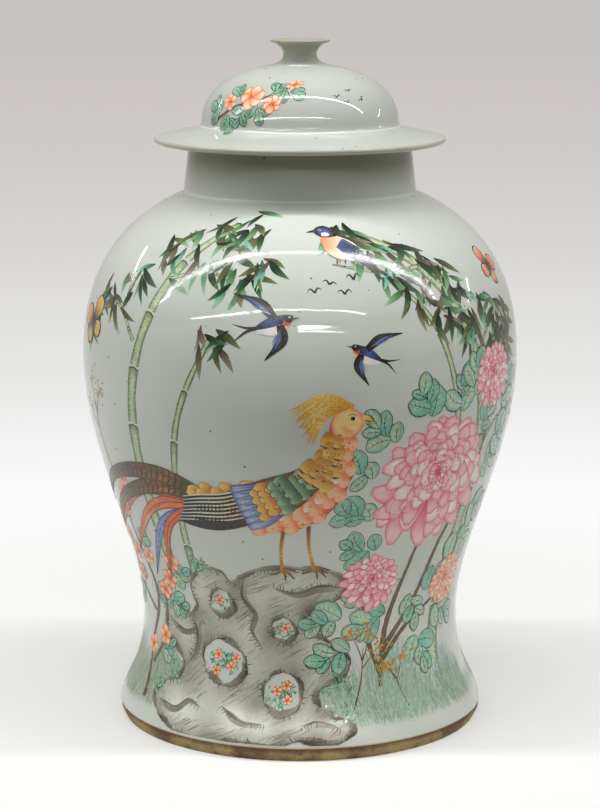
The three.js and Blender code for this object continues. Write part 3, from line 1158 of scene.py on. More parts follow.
# %% Leaves
def leaf(place, root, degrees, length, width, seed, tones):
    """A rounded leaf: a pale wash under an ink outline that misses it a little."""
    random = default_rng(seed)
    way, left = heading(degrees)
    spine = smooth(bent(root, root + way * length, random.uniform(-0.12, 0.12)), 1.6)
    shape = (0.15, 0.8, 1.0, 0.92, 0.3)
    shift = random.uniform(-0.4, 0.4, 2)
    place.petal("green", spine + shift, width * 0.93, tones, shape, rim=jade, rim_power=3.2, relief=0.02,
        wave=0.1)
    swell = 1 + 0.14 * np.abs(np.sin(math.pi * 3 * shares_of(spine)))
    half = sideways(spine) * (width / 2 * pressure(shape, shares_of(spine)) * swell)[:, None]
    with place.one_layer():
        for hand in (1, -1):
            edge = np.vstack([spine + half * hand, spine[-1:] + way * 0.5])
            place.ink(edge, 0.5, [black, soot], (0.5, 1, 0.8, 1, 0.6))
            for share in (0.3, 0.52, 0.72):
                here = spine[int(share * (len(spine) - 1))]
                end = here + way * length * 0.16 + left * hand * width * 0.34
                place.ink(bent(here, end, -0.08 * hand), 0.3, [black], (1, 0.6, 0.2))
        place.ink(spine, 0.42, [black], (1, 0.8, 0.3))


def sprays(place, seed, count, size, spread, spots, tones=(mint, reed)):
    """Clusters of leaves along hidden twigs, given by place and direction."""
    for x, y, degrees in spots:
        random = default_rng(seed)
        start = np.array((x, y), float)
        twig = smooth(bent(start, start + heading(degrees)[0] * spread, random.uniform(-0.15, 0.15)), 1.5)
        for number in range(count):
            share = (number + 0.6) / count
            here = twig[int(share * (len(twig) - 1))]
            lean = (58 - 38 * share) * (1 if number % 2 else -1) + random.uniform(-16, 16)
            length = size * random.uniform(0.7, 1.15) * (1 - 0.2 * share)
            shades = tones if random.random() < 0.6 else (jade, mint)
            width = length * random.uniform(0.55, 0.72)
            leaf(place, here, degrees + lean, length, width, seed * 31 + number, shades)
        seed += 1


print("leaves ready")


# %% Bamboo and branches
def culm(place, path, width, seed):
    """A bamboo stem with joints and soft hatching along both sides."""
    random = default_rng(seed)
    path = smooth(path, 2.4)
    share = shares_of(path)
    joints = max(2, round(norm(np.diff(path, axis=0), axis=1).sum() / 34))
    for number in range(joints):
        piece = path[(share >= number / joints - 1e-9) & (share <= (number + 1) / joints + 1e-9)]
        wide = width * (1 - 0.5 * number / joints)
        sides = place.petal("green", piece, wide, [reed, (190, 214, 172), reed],
            (1.06, 0.94, 0.9, 0.94, 1.06), rim=moss, rim_power=3)
        with place.one_layer():
            for edge in sides:
                place.ink(edge, 0.5, [olive, soot], (0.5, 1, 0.5, 0.9, 0.6))
            end, side = piece[-1], sideways(piece)[-1]
            place.ink([end - side * wide * 0.56, end + (0, 0.9), end + side * wide * 0.56], 1.2,
                [soot, olive, soot], (0.4, 1, 0.5))
        spots = smooth(piece, 1.1)
        across = sideways(spots)
        for hand in (1, -1):
            roots = spots + across * hand * wide * 0.46
            pick = random.random(len(roots)) < 0.9
            angles = np.degrees(np.arctan2(across[:, 1] * hand, across[:, 0] * hand)) + 90
            lengths = wide * random.uniform(0.16, 0.38, len(roots))
            tones = blend([olive, moss], random.random(len(roots)))
            place.marks("hatching", "grey", roots[pick], (angles + random.normal(0, 8, len(roots)))[pick],
                lengths[pick], 0.4, tones[pick])


leaf_shades = [
    [black, pine, green],
    [soot, olive, moss],
    [pine, green, mint],
    [umber, ash, (176, 170, 146)],
    [pine, jade, mint],
]
shade_odds = (0.1, 0.2, 0.3, 0.3, 0.1), (0.3, 0.35, 0.2, 0.1, 0.05), (0.5, 0.3, 0.2, 0, 0)


def bamboo_leaves(place, seed, count, length, spots):
    """Hanging clusters of blade-shaped leaves, dark and light."""
    for centre in spots:
        random = default_rng(seed)
        order = random.permutation(count)
        for tier in range(3):
            with place.one_layer():
                for number in range(tier, count, 3):
                    share = (order[number] + 0.5) / count
                    way = heading(-80.0 + (share - 0.5) * 140.0 + random.uniform(-10, 10))[0]
                    root = centre + random.normal(0, 7.0, 2) * (1, 0.6)
                    reach = length * random.uniform(0.65, 1.15)
                    shades = leaf_shades[random.choice(5, p=shade_odds[tier])]
                    blade = bent(root, root + way * reach, random.uniform(-0.1, 0.1))
                    place.petal("green", blade, random.uniform(2.8, 4.2) * length / 17, shades,
                        (0.15, 0.75, 1, 0.85, 0.5, 0.05), relief=0.01, level=0.2 * (number % 4), across=2)
        seed += 1


def branch(place, path, width, seed, woody=False):
    """A thin branch or stalk with a few knots."""
    random = default_rng(seed)
    dark, wash, rim = (black, bark, umber) if woody else (olive, reed, moss)
    path = smooth(path, 2.0)
    shape = (1, 0.9, 0.8, 0.6, 0.3)
    place.petal("green", path, width, [wash, wash], shape, rim=rim, across=2, relief=0.015)
    half = sideways(path) * (width / 2 * pressure(shape, shares_of(path)))[:, None]
    with place.one_layer():
        for hand in (1, -1):
            wobble = random.normal(0, 0.12, (len(path), 1))
            place.ink(path + half * hand + sideways(path) * wobble, 0.45, [umber, dark],
                (1, 0.5, 0.9, 0.4, 0.7, 0.3))
        for _ in range(int(len(path) / 6) + 1):
            knot = path[random.integers(2, len(path) - 1)]
            place.ink([knot + (-0.6, -0.4), knot + (0.2, 0.4), knot + (0.7, 0)], 1.0, [soot])


print("leaf shades", len(leaf_shades), "in", len(shade_odds), "tiers")


# %% Rock
def rock(place, outline, holes, seed, lines=2100):
    """A garden rock: a grey wash, long fine lines, dark broken edges and worn holes."""
    random = default_rng(seed)

    def colour_at(spots, gap):
        tone = 0.35 + 0.5 * np.clip(gap / 16, 0, 1) + 0.5 * (drift(spots, 30, seed) - 0.5)
        return blend([ash, stone, stone_light, paper], np.clip(tone, 0, 1))

    loops = place.field("grey", outline, colour_at, holes=holes, relief=0.01)
    rim = segments_of(loops)
    spots = random.uniform(loops[0].min(0), loops[0].max(0), (lines, 2))
    gap = edge_gap(spots, rim)[0]
    weight = np.clip(1.3 - gap / 11, 0.25, 1) * np.clip(2.6 * drift(spots, 18, seed + 1) - 0.5, 0.1, 1)
    spots = spots[in_loops(spots, loops) & (random.random(lines) < weight) & (gap > 1.0)]
    size = random.uniform(6, 17, len(spots))
    turns = -52 + 30 * (drift(spots, 60, seed + 2) - 0.5) + random.normal(0, 3, len(spots))
    tips = spots + size[:, None] * np.stack([-np.sin(np.radians(turns)), np.cos(np.radians(turns))], 1)
    inside = in_loops(tips, loops)
    tones = blend([stone_dark, ash, stone], random.random(len(spots)))
    place.marks("rock_lines", "grey", spots[inside], turns[inside], size[inside], 0.36, tones[inside],
        kind="line")
    for loop in loops:
        closed, start = np.vstack([loop, loop[:2]]), 0
        while start < len(closed) - 3:
            stop = min(start + random.integers(7, 15), len(closed))
            part = closed[start : stop + 1]
            part = part + random.normal(0, 0.25, part.shape)
            x, y = part.mean(0) - loop.mean(0)
            wide = random.uniform(1.6, 3.4) if y < 0 or x > 0 else random.uniform(0.7, 1.5)
            with place.one_layer():
                place.stroke("grey", part + (-0.7, 0.7), wide * 1.7, [stone, ash, stone],
                    (0.1, 0.8, 1, 0.7, 0.1))
            place.ink(part, wide, [ash, stone_dark, soot, stone_dark], (0.15, 0.7, 1, 0.6, 0.1))
            start = stop - 1
    spots = np.vstack(loops) + random.normal(0, 0.4, (sum(map(len, loops)), 2))
    slope = edge_gap(spots, rim)[1]
    pick = random.random(len(spots)) < 0.55
    teeth = slope[pick] + 180 + random.normal(0, 14, pick.sum())
    place.marks("hatching", "grey", spots[pick], teeth, random.uniform(1.6, 4.2, pick.sum()), 0.5,
        blend([soot, stone_dark], random.random(pick.sum())), level=0.4)


def ridge(place, path, width, seed):
    """A fold in the rock: a dark line with a soft shadow below it and teeth."""
    random = default_rng(seed)
    path = smooth(path, 2.0)
    place.stroke("grey", path + (1.0, -1.2), width * 2.2, [stone, ash, stone], (0.1, 1, 0.8, 0.5, 0.1))
    place.ink(path, width, [ash, soot, stone_dark, ash], (0.15, 1, 0.6, 0.8, 0.1))
    place.marks("hatching", "grey", path, slope_of(path) + 180 + random.normal(0, 12, len(path)),
        random.uniform(2, 4.5, len(path)), 0.45, blend([soot, ash], random.random(len(path))), level=0.4)


print("rock ready")


# %% Moss and grass
def moss_dots(place, centre, reach, count, seed):
    """A patch of ticks over pale dots, thick in the middle."""
    random = default_rng(seed)
    spots = np.array(centre) + random.normal(0, 0.5, (count, 2)) * (reach, reach * 0.8)
    size = random.uniform(1.2, 2.2, count)
    place.marks("moss", "green", spots, random.uniform(0, 180, count), size, size,
        blend([mint, jade], random.random(count)), kind="dot")
    spots = np.repeat(spots, 2, 0) + random.normal(0, 0.5, (2 * count, 2))
    turns = np.tile([-32.0, 32.0], count) + random.normal(0, 12, 2 * count)
    place.marks("moss_ticks", "green", spots, turns, random.uniform(1.2, 2.2, 2 * count), 0.6,
        blend([pine, green, jade], random.random(2 * count)), level=2)


def grass(vessel, from_degrees, to_degrees, seed, count, base=(17, 30), blade=(8, 17),
        tones=(green, moss, jade)):
    """Blades of grass along part of the foot, in tufts that lean."""
    random = default_rng(seed)
    degrees = random.uniform(from_degrees, to_degrees, count)
    thick = 0.5 + 0.5 * np.sin(np.radians(degrees) * 9 + seed) * np.sin(np.radians(degrees) * 4 + 2)
    keep = random.random(count) < 0.3 + 0.7 * thick
    degrees, thick = degrees[keep], thick[keep]
    order = len(degrees)
    heights = base[0] + (base[1] - base[0]) * random.random(order) ** 1.3 * (0.45 + 0.75 * thick)
    lean = 16 * np.sin(np.radians(degrees) * 7 + seed) + random.normal(0, 13, order)
    length = random.uniform(*blade, order) * (0.55 + 0.55 * thick)
    cool = 0.5 + 0.5 * np.sin(np.radians(degrees) * 3 + seed * 2)
    tone = blend(tones, np.clip(cool + random.normal(0, 0.22, order), 0, 1))
    fade = random.uniform(0.1, 0.8, order)[:, None]
    tone = tone * (1 - fade) + blend([paper], 0.0) * fade
    for angle, height, turn, reach, colour in zip(degrees, heights, lean, length, tone):
        Place(vessel, angle, height).marks("grass", "green", [(0, 0)], turn, reach, 0.45, colour)


print("grass ready")

# %% [markdown]
# ## Birds
# Body and wing are limbs: a curved spine with a width on either side. Rows of small feathers follow
# the spine, each lapping over the roots of the row behind it, like tiles on a roof.


# %% Limbs and feathers
class Limb:
    """A spine with a width to either side. Places are shares of its length and width."""

    def __init__(self, spine, upper, lower):
        self.path = smooth(spine, 1.0)
        self.share, self.side = shares_of(self.path), sideways(self.path)
        self.upper, self.lower = upper, lower

    def at(self, along, across):
        centre, side = (np.array([np.interp(along, self.share, column) for column in row.T])
            for row in (self.path, self.side))
        return centre + side * pressure(self.upper if across > 0 else self.lower, along) * across

    def back(self, along):
        """The way that feathers lie, towards the spine's start, in degrees."""
        way = self.at(max(along - 0.04, 0), 0) - self.at(min(along + 0.04, 1), 0)
        return math.degrees(math.atan2(way[1], way[0]))

    def outline(self, steps=16):
        shares = np.linspace(0, 1, steps)
        upper = [self.at(share, 1) for share in shares]
        return np.array(upper + [self.at(share, -1) for share in shares[::-1]])


def plumage(place, limb, along, across, rows, length, width, tones, enamel, line, seed, splay=14,
        tip_band=None, hidden=None, bright=None):
    """Rows of feathers over part of a limb, but none under what hides them."""
    random = default_rng(seed)
    with place.one_layer():
        for row in range(rows):
            here = along[0] + (along[1] - along[0]) * row / max(rows - 1, 1)
            wide = norm(limb.at(here, across[1]) - limb.at(here, across[0]))
            count = max(2, round(wide / (0.72 * width)))
            for number in range(count):
                side = across[0] + (across[1] - across[0]) * (number + 0.25 + 0.5 * (row % 2)) / count
                root = limb.at(here, side)
                way, left = heading(limb.back(here) + splay * side * -1 + random.uniform(-4, 4))
                tip = root + way * length * random.uniform(0.9, 1.1)
                if hidden is not None and in_loops(np.array([root, tip]), [hidden]).all():
                    continue
                inner = bright and side >= -0.5 and here <= 0.8
                sides = place.petal(enamel, [root, (root + tip) / 2, tip], width, bright if inner else tones,
                    (0.6, 0.95, 1, 0.85, 0.35), across=2, relief=0.006, tilt=0.014)
                end = np.vstack([sides[0][-3:], tip + way * 0.3, sides[1][-3:][::-1]])
                place.stroke(line[0], end, 0.42, [line[1]], (0.3, 1, 1, 1, 0.3), level=1.5)
                if tip_band:
                    band = [tip - way * 1.1 + left * width * 0.36, tip - way * 0.5,
                        tip - way * 1.1 - left * width * 0.36]
                    place.ink(band, 1.3, [tip_band], (0.4, 1, 0.4), level=1.9)


def long_feather(place, path, width, tones, seed, bars=None, barbs=(soot, umber), rim=umber):
    """A tail feather with barbs along its quill and bars across."""
    random = default_rng(seed)
    path = smooth(path, 1.5)
    shape = (0.5, 0.9, 1, 0.92, 0.75, 0.45, 0.06)
    sides = place.petal("grey", path, width, tones, shape, rim=rim, rim_power=4, across=2, relief=0.02)
    half, side, slope = width / 2 * pressure(shape, shares_of(path)), sideways(path), slope_of(path)
    for hand in (1, -1):
        for shift in (0.0, 0.5):
            roots = path[1:-1] * (1 - shift) + path[2:] * shift
            turns = slope[1:-1] - 90 + hand * 30 + random.normal(0, 4, len(roots))
            place.marks("barbs", "grey", roots, turns, half[1:-1] * 1.7, 0.34,
                blend(barbs, random.random(len(roots))), level=0.6)
    with place.one_layer():
        for index in range(3, len(path) - 3, 3) if bars else ():
            back = path[index - 2] - path[index]
            for hand in (1, -1):
                end = path[index] + side[index] * hand * half[index] * 0.92 - back * 0.5
                place.ink([path[index], end], 1.1, [bars], (0.5, 1, 0.9, 0.4))
        for edge in sides:
            place.ink(edge, 0.4, [soot])
        place.ink(path, 0.55, [black], (1, 0.8, 0.4), level=1)


print("feathers ready")


# %% Pheasant
def pheasant(place, seed):
    """A golden pheasant that stands on a rock, looking to the right."""
    body = Limb([(-36, 45), (-14, 42), (8, 42), (28, 50), (41, 64), (46, 79), (49, 90)],
        upper=(3, 8, 13, 15, 13, 8.5, 6), lower=(3, 10, 16, 18, 15, 9.5, 6))
    wing = Limb([(-34, 37), (-12, 41), (12, 48), (33, 61)], upper=(2, 9, 11, 5), lower=(2, 9, 12, 7))
    pheasant_tail(place, seed)
    for knee, foot in (((14, 28), (11, 1)), ((27, 29), (28, 2))):
        pheasant_leg(place, knee, foot)

    def breast(spots, gap):
        share = np.clip(gap / 9 + 0.25 * (drift(spots, 14, 3) - 0.5), 0, 1)
        return blend([rust, coral, peach, coral], share)

    place.field("coral", body.outline(), breast, spacing=2.0)
    covered = wing.outline(12)
    gold, leafy = [ochre, honey, straw], [pine, green, mint]
    plumage(place, body, (0.12, 0.93), (-0.96, 0.0), 15, 8, 6.2, [coral, peach, peach], "coral",
        ("coral", coral), 1, hidden=covered, bright=[coral, peach, white])
    for along, across, rows, width, tones, enamel, line, number in (
        ((0.04, 0.46), (-0.1, 0.92), 8, 6.0, gold, "yellow", ("yellow", ochre), 2),
        ((0.46, 0.70), (0.0, 0.95), 5, 6.2, [pine, jade, mint], "green", ("black", pine), 3),
    ):
        plumage(place, body, along, across, rows, 9, width, tones, enamel, line, number, hidden=covered)
    place.field("grey", covered, lambda spots, gap: blend([umber, ochre, honey], gap / 8), relief=0.008,
        spacing=2.2)
    with place.one_layer():
        for number in range(8):
            share = number / 7
            root = wing.at(0.52 + 0.05 * share, -0.9 + 1.5 * share)
            tip = wing.at(0.0, 0) + np.array([-13 + 8 * share - 4 * share**2, -10 + 15 * share])
            sides = place.petal("black", bent(root, tip, 0.07), 6.0, [umber, black, black],
                (0.6, 0.9, 1, 0.9, 0.2), level=0.8 * number, across=2, relief=0.004)
            place.stroke("pink", sides[1], 1.0, [straw, ice], (0, 0.9, 1, 0.4), level=0.8 * number + 1.5)
    with place.one_layer():
        for number in range(7):
            share = number / 6
            root = wing.at(0.62, -0.85 + 1.5 * share)
            tip = root + heading(wing.back(0.5) + 14 - 20 * share)[0] * 21
            sides = place.petal("blue", bent(root, tip, 0.05), 6.0, [slate, sky, ice],
                (0.7, 1, 0.95, 0.6), rim=slate, level=0.8 * number, across=2, relief=0.004)
            place.ink(sides[1], 0.5, [black], level=0.8 * number + 1.5)
            place.ink([root, tip], 0.35, [slate], level=0.8 * number + 1.5)
    plumage(place, wing, (0.56, 0.70), (-0.85, 0.7), 3, 8, 5.5, [rust, honey, straw], "yellow",
        ("black", umber), 4)
    plumage(place, wing, (0.72, 0.97), (-0.85, 0.8), 4, 8, 6, leafy, "green", ("black", pine), 5)
    plumage(place, body, (0.70, 0.93), (-0.35, 1.05), 6, 9, 6.4, gold, "yellow", ("yellow", honey), 6,
        splay=8, tip_band=(44, 48, 70))
    pheasant_head(place, seed)


def pheasant_tail(place, seed):
    blues, rusts = [slate, sky, ice, sky], [rust, coral, peach, coral]
    for number, (start, end, bow, width, tones) in enumerate((
        ((-22, 40), (-92, -2), -0.20, 8, rusts),
        ((-22, 38), (-74, -14), -0.22, 7, blues),
        ((-24, 42), (-112, 10), -0.18, 7.5, rusts),
        ((-24, 42), (-60, -14), -0.24, 6, [rust, coral, coral]),
    )):
        path = bent(start, end, bow)
        long_feather(place, path, width, tones, seed + number, barbs=tones[:2], rim=tones[0])
    for number, path in enumerate((
        [(-26, 42), (-62, 46), (-100, 30), (-128, -6)],
        [(-26, 45), (-64, 54), (-108, 44), (-142, 12)],
    )):
        long_feather(place, path, 9.5, [olive, ochre, bark, ochre, straw], seed + 10 + number, bars=black)


def pheasant_leg(place, knee, foot):
    middle = ((knee[0] + foot[0]) / 2 - 1.2, (knee[1] + foot[1]) / 2)
    place.stroke("yellow", [knee, middle, foot], 2.4, [umber, ochre, honey, ochre], (1, 0.8, 0.7, 0.9))
    for share in np.linspace(0.35, 0.9, 7):
        spot = np.array(knee) * (1 - share) + np.array(foot) * share - (1.1 * math.sin(math.pi * share), 0)
        place.ink([spot - (0.8, -0.3), spot + (0.8, 0.3)], 0.35, [umber])
    for toe in ((8, -1), (6, -5), (-6, -2.5), (1.5, -6)):
        tip = np.add(foot, toe)
        place.stroke("yellow", bent(foot, tip, 0.12), 1.5, [ochre, umber], (1, 0.9, 0.5))
        claw = [tip - np.array(toe) * 0.08, tip + np.array(toe) * 0.14]
        place.ink(claw, 0.8, [black], (1, 0.2))


def pheasant_head(place, seed):
    """Head, beak and eye, and the golden crest that falls back from the crown."""
    head = [(43, 82), (41.5, 89), (45, 95), (51, 97.5), (57, 94.5), (59.5, 90), (57.5, 84.5), (51, 80)]
    place.field("coral", head, lambda spots, gap: blend([coral, peach, straw], gap / 3.4), relief=0.01,
        spacing=1.6)
    for number in range(9):
        way = heading(196 + 11 * number)[0]
        place.stroke("coral", [(52, 88) + way * 2.8, (52, 88) + way * 6.2], 0.45, [coral])
    for tones, width, path in (
        ([straw, honey], 3.4, [(58.6, 91.4), (62, 91), (65, 88.6)]),
        ([straw, ochre], 2.0, [(58.4, 89.2), (60.8, 88.8), (62.8, 88)]),
    ):
        place.petal("yellow", path, width, tones, (1, 0.75, 0.1), across=2, relief=0.01)
    for line in ([(58.4, 93), (62, 92.6), (65.4, 88.4)], [(58.6, 90.2), (61.6, 89.6), (64.6, 88.8)]):
        place.ink(line, 0.42, [umber], (0.5, 1, 0.8))
    place.stroke("pink", [(51.2, 91.2), (55.0, 91.2)], 3.4, [straw, white], (0.7, 1, 0.7))
    place.ink([(52.2, 91.2), (54.4, 91.2)], 2.2, [black], (0.8, 1, 0.8), level=3)
    place.ink([(50.6, 92.8), (53, 93.6), (55.8, 92.4)], 0.45, [black])
    random = default_rng(seed)
    golds = [honey, straw, honey], [honey, straw, straw], [ochre, honey, honey]
    with place.one_layer():
        for number in range(22):
            share = number / 21
            tip = np.array((20 + 12 * share, 95 - 18 * share)) + random.uniform(-1.6, 1.6, 2)
            path = [(54 - 9 * share, 98 - 3 * share), (39 - 1 * share, 104 - 13 * share), tip]
            place.stroke("yellow", path, 2.3, golds[number % 3], (0.6, 1, 0.8, 0.1), level=0.3 * number)


print("pheasant ready")


# %% Small birds and butterflies
def swallow(place):
    """A swallow in flight, beak to the right."""
    for end in ((-21, 5), (-22, -4)):
        place.ink([(-7, 0), (-14, 0.5 + end[1] * 0.2), end], 1.8, [black], (1, 0.7, 0.15))
    place.petal("pink", [(-9, -1.5), (0, -2.6), (8, -1)], 6, [ice, white, peach], (0.3, 1, 0.7))
    back = [black, slate, black]
    place.petal("black", [(-10, 0), (0, 1.6), (9, 1.4)], 5.4, back, (0.25, 1, 0.8))
    for tips in (((2, 3), (-4, 13), (-17, 21)), ((4, -1), (3, -9), (-8, -17))):
        sides = place.petal("black", tips, 5.4, [black, soot, black], (0.7, 1, 0.5, 0.06))
        root, middle, tip = np.array(tips, float)
        for share in (0.25, 0.4, 0.55, 0.7, 0.85):
            here = root * (1 - share) + middle * share
            place.stroke("blue", [here, here + (tip - root) * 0.4 - (1.4, 0)], 0.5, [sky, slate])
        place.ink(sides[0], 0.5, [black])
    place.petal("coral", [(6, -0.6), (10, 0.2)], 4, [rust, coral], (0.5, 1, 0.5))
    place.petal("black", [(7, 1.2), (11.5, 1.4)], 4.4, [black, black], (0.6, 1, 0.5))
    place.ink([(11, 1), (14.5, 0.4)], 1, [soot], (1, 0.2))
    place.stroke("pink", [(9.2, 2), (9.9, 2)], 0.8, [white], (1, 1))


def perched(place):
    """A small round bird on a twig, looking to the right."""
    for end in ((-17, -9), (-15.5, -11.5)):
        place.petal("black", [(-5, 2), end], 3.2, [soot, black], (0.8, 1, 0.6, 0.3), across=2)
    body = [(-8, 2), (-5, 9), (2, 14), (8, 16), (11, 12), (10, 5), (5, 0.5), (-3, -1)]
    place.field("pink", body, lambda spots, gap: blend([coral, peach, white], (12 - spots[:, 0]) / 14),
        spacing=1.5)
    place.ink(body[4:], 0.4, [umber])
    for number in range(5):
        tip = (-12 + 1.2 * number, -3 + 2.2 * number)
        sides = place.petal("blue", bent((3.5 - number * 0.6, 8 + number * 0.9), tip, 0.08), 3.4,
            [slate, soot], (0.7, 1, 0.8, 0.2), across=2, relief=0.006)
        place.stroke("pink", sides[1], 0.4, [ice], (0.2, 1, 0.5))
    head = [(3, 14), (4, 19), (8, 21.5), (12, 20), (13, 16.5), (9.5, 13.5)]
    place.field("black", head, lambda spots, gap: blend([black, slate], gap / 3), spacing=1.3)
    place.petal("pink", [(6, 15.6), (10, 15.4)], 2.8, [ice, white], (0.5, 1, 0.6), across=2)
    place.ink([(12.6, 18), (16.8, 17)], 1.5, [soot, black], (1, 0.8, 0.1))
    place.stroke("pink", [(9.6, 18.6), (10.8, 18.6)], 1.2, [white], (1, 1))
    place.ink([(9.9, 18.6), (10.7, 18.6)], 0.8, [black], (1, 1), level=3)
    for foot in (1, 5):
        place.stroke("yellow", [(foot, 0.5), (foot + 0.6, -3)], 0.8, [umber])


def butterfly(place, tones=(honey, straw)):
    for hand in (1, -1):
        for tip, width, shades in (((hand * 13, 10), 12, tones), ((hand * 9.5, -9), 9.5, tones[::-1])):
            root = np.array((hand * 0.8, tip[1] * 0.06))
            tip = np.array(tip, float)
            sides = place.petal("yellow", [root, tip * 0.6, tip], width, [black, *shades],
                (0.2, 0.7, 0.95, 1, 0.6))
            with place.one_layer():
                for edge in sides:
                    place.ink(edge, 0.9, [black], (0.3, 1, 0.9, 1))
                border = [sides[0][-1], tip * 1.04, sides[1][-1]]
                place.ink(border, 1.3, [black], (0.8, 1, 0.8))
                for vein in (-0.25, 0, 0.25):
                    end = (tip[0] * 0.9 - tip[1] * vein, tip[1] * 0.9 + tip[0] * vein)
                    place.ink([root, end], 0.4, [black], (1, 0.7, 0.4))
                for spot in (0.66, 0.84):
                    place.stroke("coral", [tip * spot, tip * (spot + 0.07)], 1.6, [rust], (0.7, 1, 0.7),
                        level=0.6)
        place.ink([(hand * 0.3, 4), (hand * 2.2, 9), (hand * 4, 11)], 0.4, [black])
    place.ink([(0, 4.6), (0, 0), (0, -8)], 2.2, [black, soot, black], (0.6, 1, 0.4), relief=0.02)


def far_birds(vessel, span, seed, spots):
    for degrees, height, turn in spots:
        random = default_rng(seed)
        place = Place(vessel, degrees, height, turn=turn)
        for hand in (1, -1):
            lift = random.uniform(0.2, 0.5) * span
            wing = [(0, 0), (hand * span * 0.28, lift), (hand * span * 0.55, lift * 0.4)]
            place.ink(wing, span * 0.16, [black, soot], (1, 0.8, 0.2))
        seed += 1


print("small birds ready")

# %% [markdown]
# ## Enamel finishes
# All enamels share one recipe and differ in gloss and thickness. The colour is an attribute of the
# mesh, as the painter mixed it, and the shader adds what firing does: pools of deeper colour, a
# gloss that varies and a fine uneven skin.


# %% Enamel finish
def enamel_material(name, low_gloss, high_gloss, pooling, skin):
    """Roughness from and to, how much the colour gathers, and the depth of bumps."""
    material, desk, shader, place = new_material("enamel_" + name)
    paint = desk.add("Attribute", {}, "Color", attribute_name="paint")
    pools = desk.noise(place, 420.0, 3.0, 0.6)
    wide = desk.noise(place, 95.0, 2.0)
    darker = desk.vector("MULTIPLY", paint, (0.62, 0.66, 0.68))
    lighter = desk.vector("MULTIPLY", paint, (1.12, 1.1, 1.08))
    tint = desk.mix(pools.ramp(0.42, 0.75) * pooling, lighter, darker)
    tint = desk.mix(wide.ramp(0.45, 0.7) * (0.5 * pooling), tint, darker)
    height = pools * 0.7 + desk.noise(place, 1600.0, 1.0) * 0.3
    inputs = {"Base Color": tint, "Roughness": low_gloss + (high_gloss - low_gloss) * pools, "IOR": 1.52}
    desk.put(shader.socket.node, {**inputs, "Normal": desk.bump(height, 0.4, skin * MM)})
    return material


enamels = {name: enamel_material(name, *look) for name, look in {
    "green": (0.05, 0.22, 0.55, 0.10),
    "pink": (0.12, 0.34, 0.30, 0.06),
    "coral": (0.22, 0.46, 0.22, 0.03),
    "yellow": (0.10, 0.28, 0.22, 0.07),
    "blue": (0.06, 0.22, 0.45, 0.09),
    "grey": (0.12, 0.34, 0.28, 0.04),
    "black": (0.16, 0.42, 0.30, 0.03),
}.items()}
print("enamels", list(enamels))


# %% Small marks
def blade_mark(name, widths, bow):
    """A brush mark, a metre long and wide, that each point shrinks to its own size."""
    points, faces, last = [], [], len(widths) - 1
    for row, wide in enumerate(widths):
        along, shift = row / last, bow * (row / last) ** 2
        left, right = shift - wide / 2, shift + wide / 2
        points += [(left, along, -sunk), (shift, along, 0.012 * MM), (right, along, -sunk)]
    for a in range(0, 3 * last, 3):
        b = a + 3
        faces += [(a, a + 1, b + 1, b), (a + 1, a + 2, b + 2, b + 1), (a + 2, a, b, b + 2)]
    end = 3 * last
    return new_object(name, points, faces=faces + [(0, 2, 1), (end + 2, end, end + 1)])


def round_mark(name, corners=7):
    points = ring(corners, 0.5, -sunk) + [(0, 0, 0.02 * MM), (0, 0, -1.5 * sunk)]
    faces = []
    for corner in range(corners):
        after = (corner + 1) % corners
        faces += [(corner, after, corners), (after, corner, corners + 1)]
    return new_object(name, points, faces=faces)


mark_shapes = {
    "blade": blade_mark("blade_mark", (0.35, 1.0, 0.75, 0.08), 0.22),
    "line": blade_mark("line_mark", (0.1, 0.7, 1.0, 0.9, 0.6, 0.35, 0.1), 0.6),
    "dot": round_mark("dot_mark"),
}
print("marks", list(mark_shapes))

# %% [markdown]
# ## The painted design
# A garden in the traditional bird-and-flower manner runs round the jar: a golden pheasant on a worn
# rock, bamboo up to the shoulder, chrysanthemums, and grass along the foot. The front is crowded and
# the back quiet, as painters left it, and bare glaze stays between. What lies behind is painted
# first, and each stroke settles on what is there.

# %% Paint the ground
grass(jar, -180, 180, 5, 5600)
grass(jar, 8, 74, 6, 2000, base=(16, 46), blade=(9, 20), tones=(moss, green, jade))
grass(jar, -88, -46, 7, 1300, base=(16, 42), blade=(9, 20))
print("marks of grass", len(jar.marks["grass", "green", "blade"]))

# %% Paint the bamboo
left_stand, right_stand = Place(jar, -46, 92), Place(jar, 54, 40)
for stand, path, width, seed in (
    (left_stand, [(16, -6), (17, 40), (27, 96), (48, 146)], 5.2, 12),
    (left_stand, [(0, 0), (-5, 60), (-2, 120), (14, 176), (34, 214)], 9, 11),
    (right_stand, [(-16, 96), (-20, 150), (-34, 200), (-52, 228)], 5.0, 14),
    (right_stand, [(0, 0), (5, 60), (3, 130), (-9, 190), (-33, 238), (-58, 262)], 11, 13),
):
    culm(stand, path, width, seed)
for stand, path, width, seed in (
    (left_stand, [(-3, 140), (-18, 156), (-36, 160), (-52, 150)], 2.2, 21),
    (left_stand, [(14, 176), (34, 182), (52, 176)], 2.0, 22),
    (right_stand, [(-33, 236), (-54, 234), (-80, 240)], 2.4, 23),
    (right_stand, [(-6, 184), (12, 202), (32, 204)], 2.4, 24),
    (right_stand, [(4, 130), (20, 146), (34, 150)], 2.0, 25),
):
    branch(stand, path, width, seed)
bamboo_leaves(left_stand, 200, 10, 17, [
    (-52, 148), (-38, 162), (-22, 160), (-8, 178), (6, 198), (22, 208), (38, 190), (54, 178), (44, 206),
    (50, 150), (34, 216), (62, 190)])
bamboo_leaves(right_stand, 240, 11, 17, [
    (34, 150), (30, 202), (16, 206), (2, 214), (-14, 222), (-28, 240), (-44, 252), (-58, 264), (-50, 236),
    (-40, 222), (-26, 210), (-12, 200), (24, 190), (-66, 252), (10, 192)])
print("enamels used so far", list(jar.lenses))

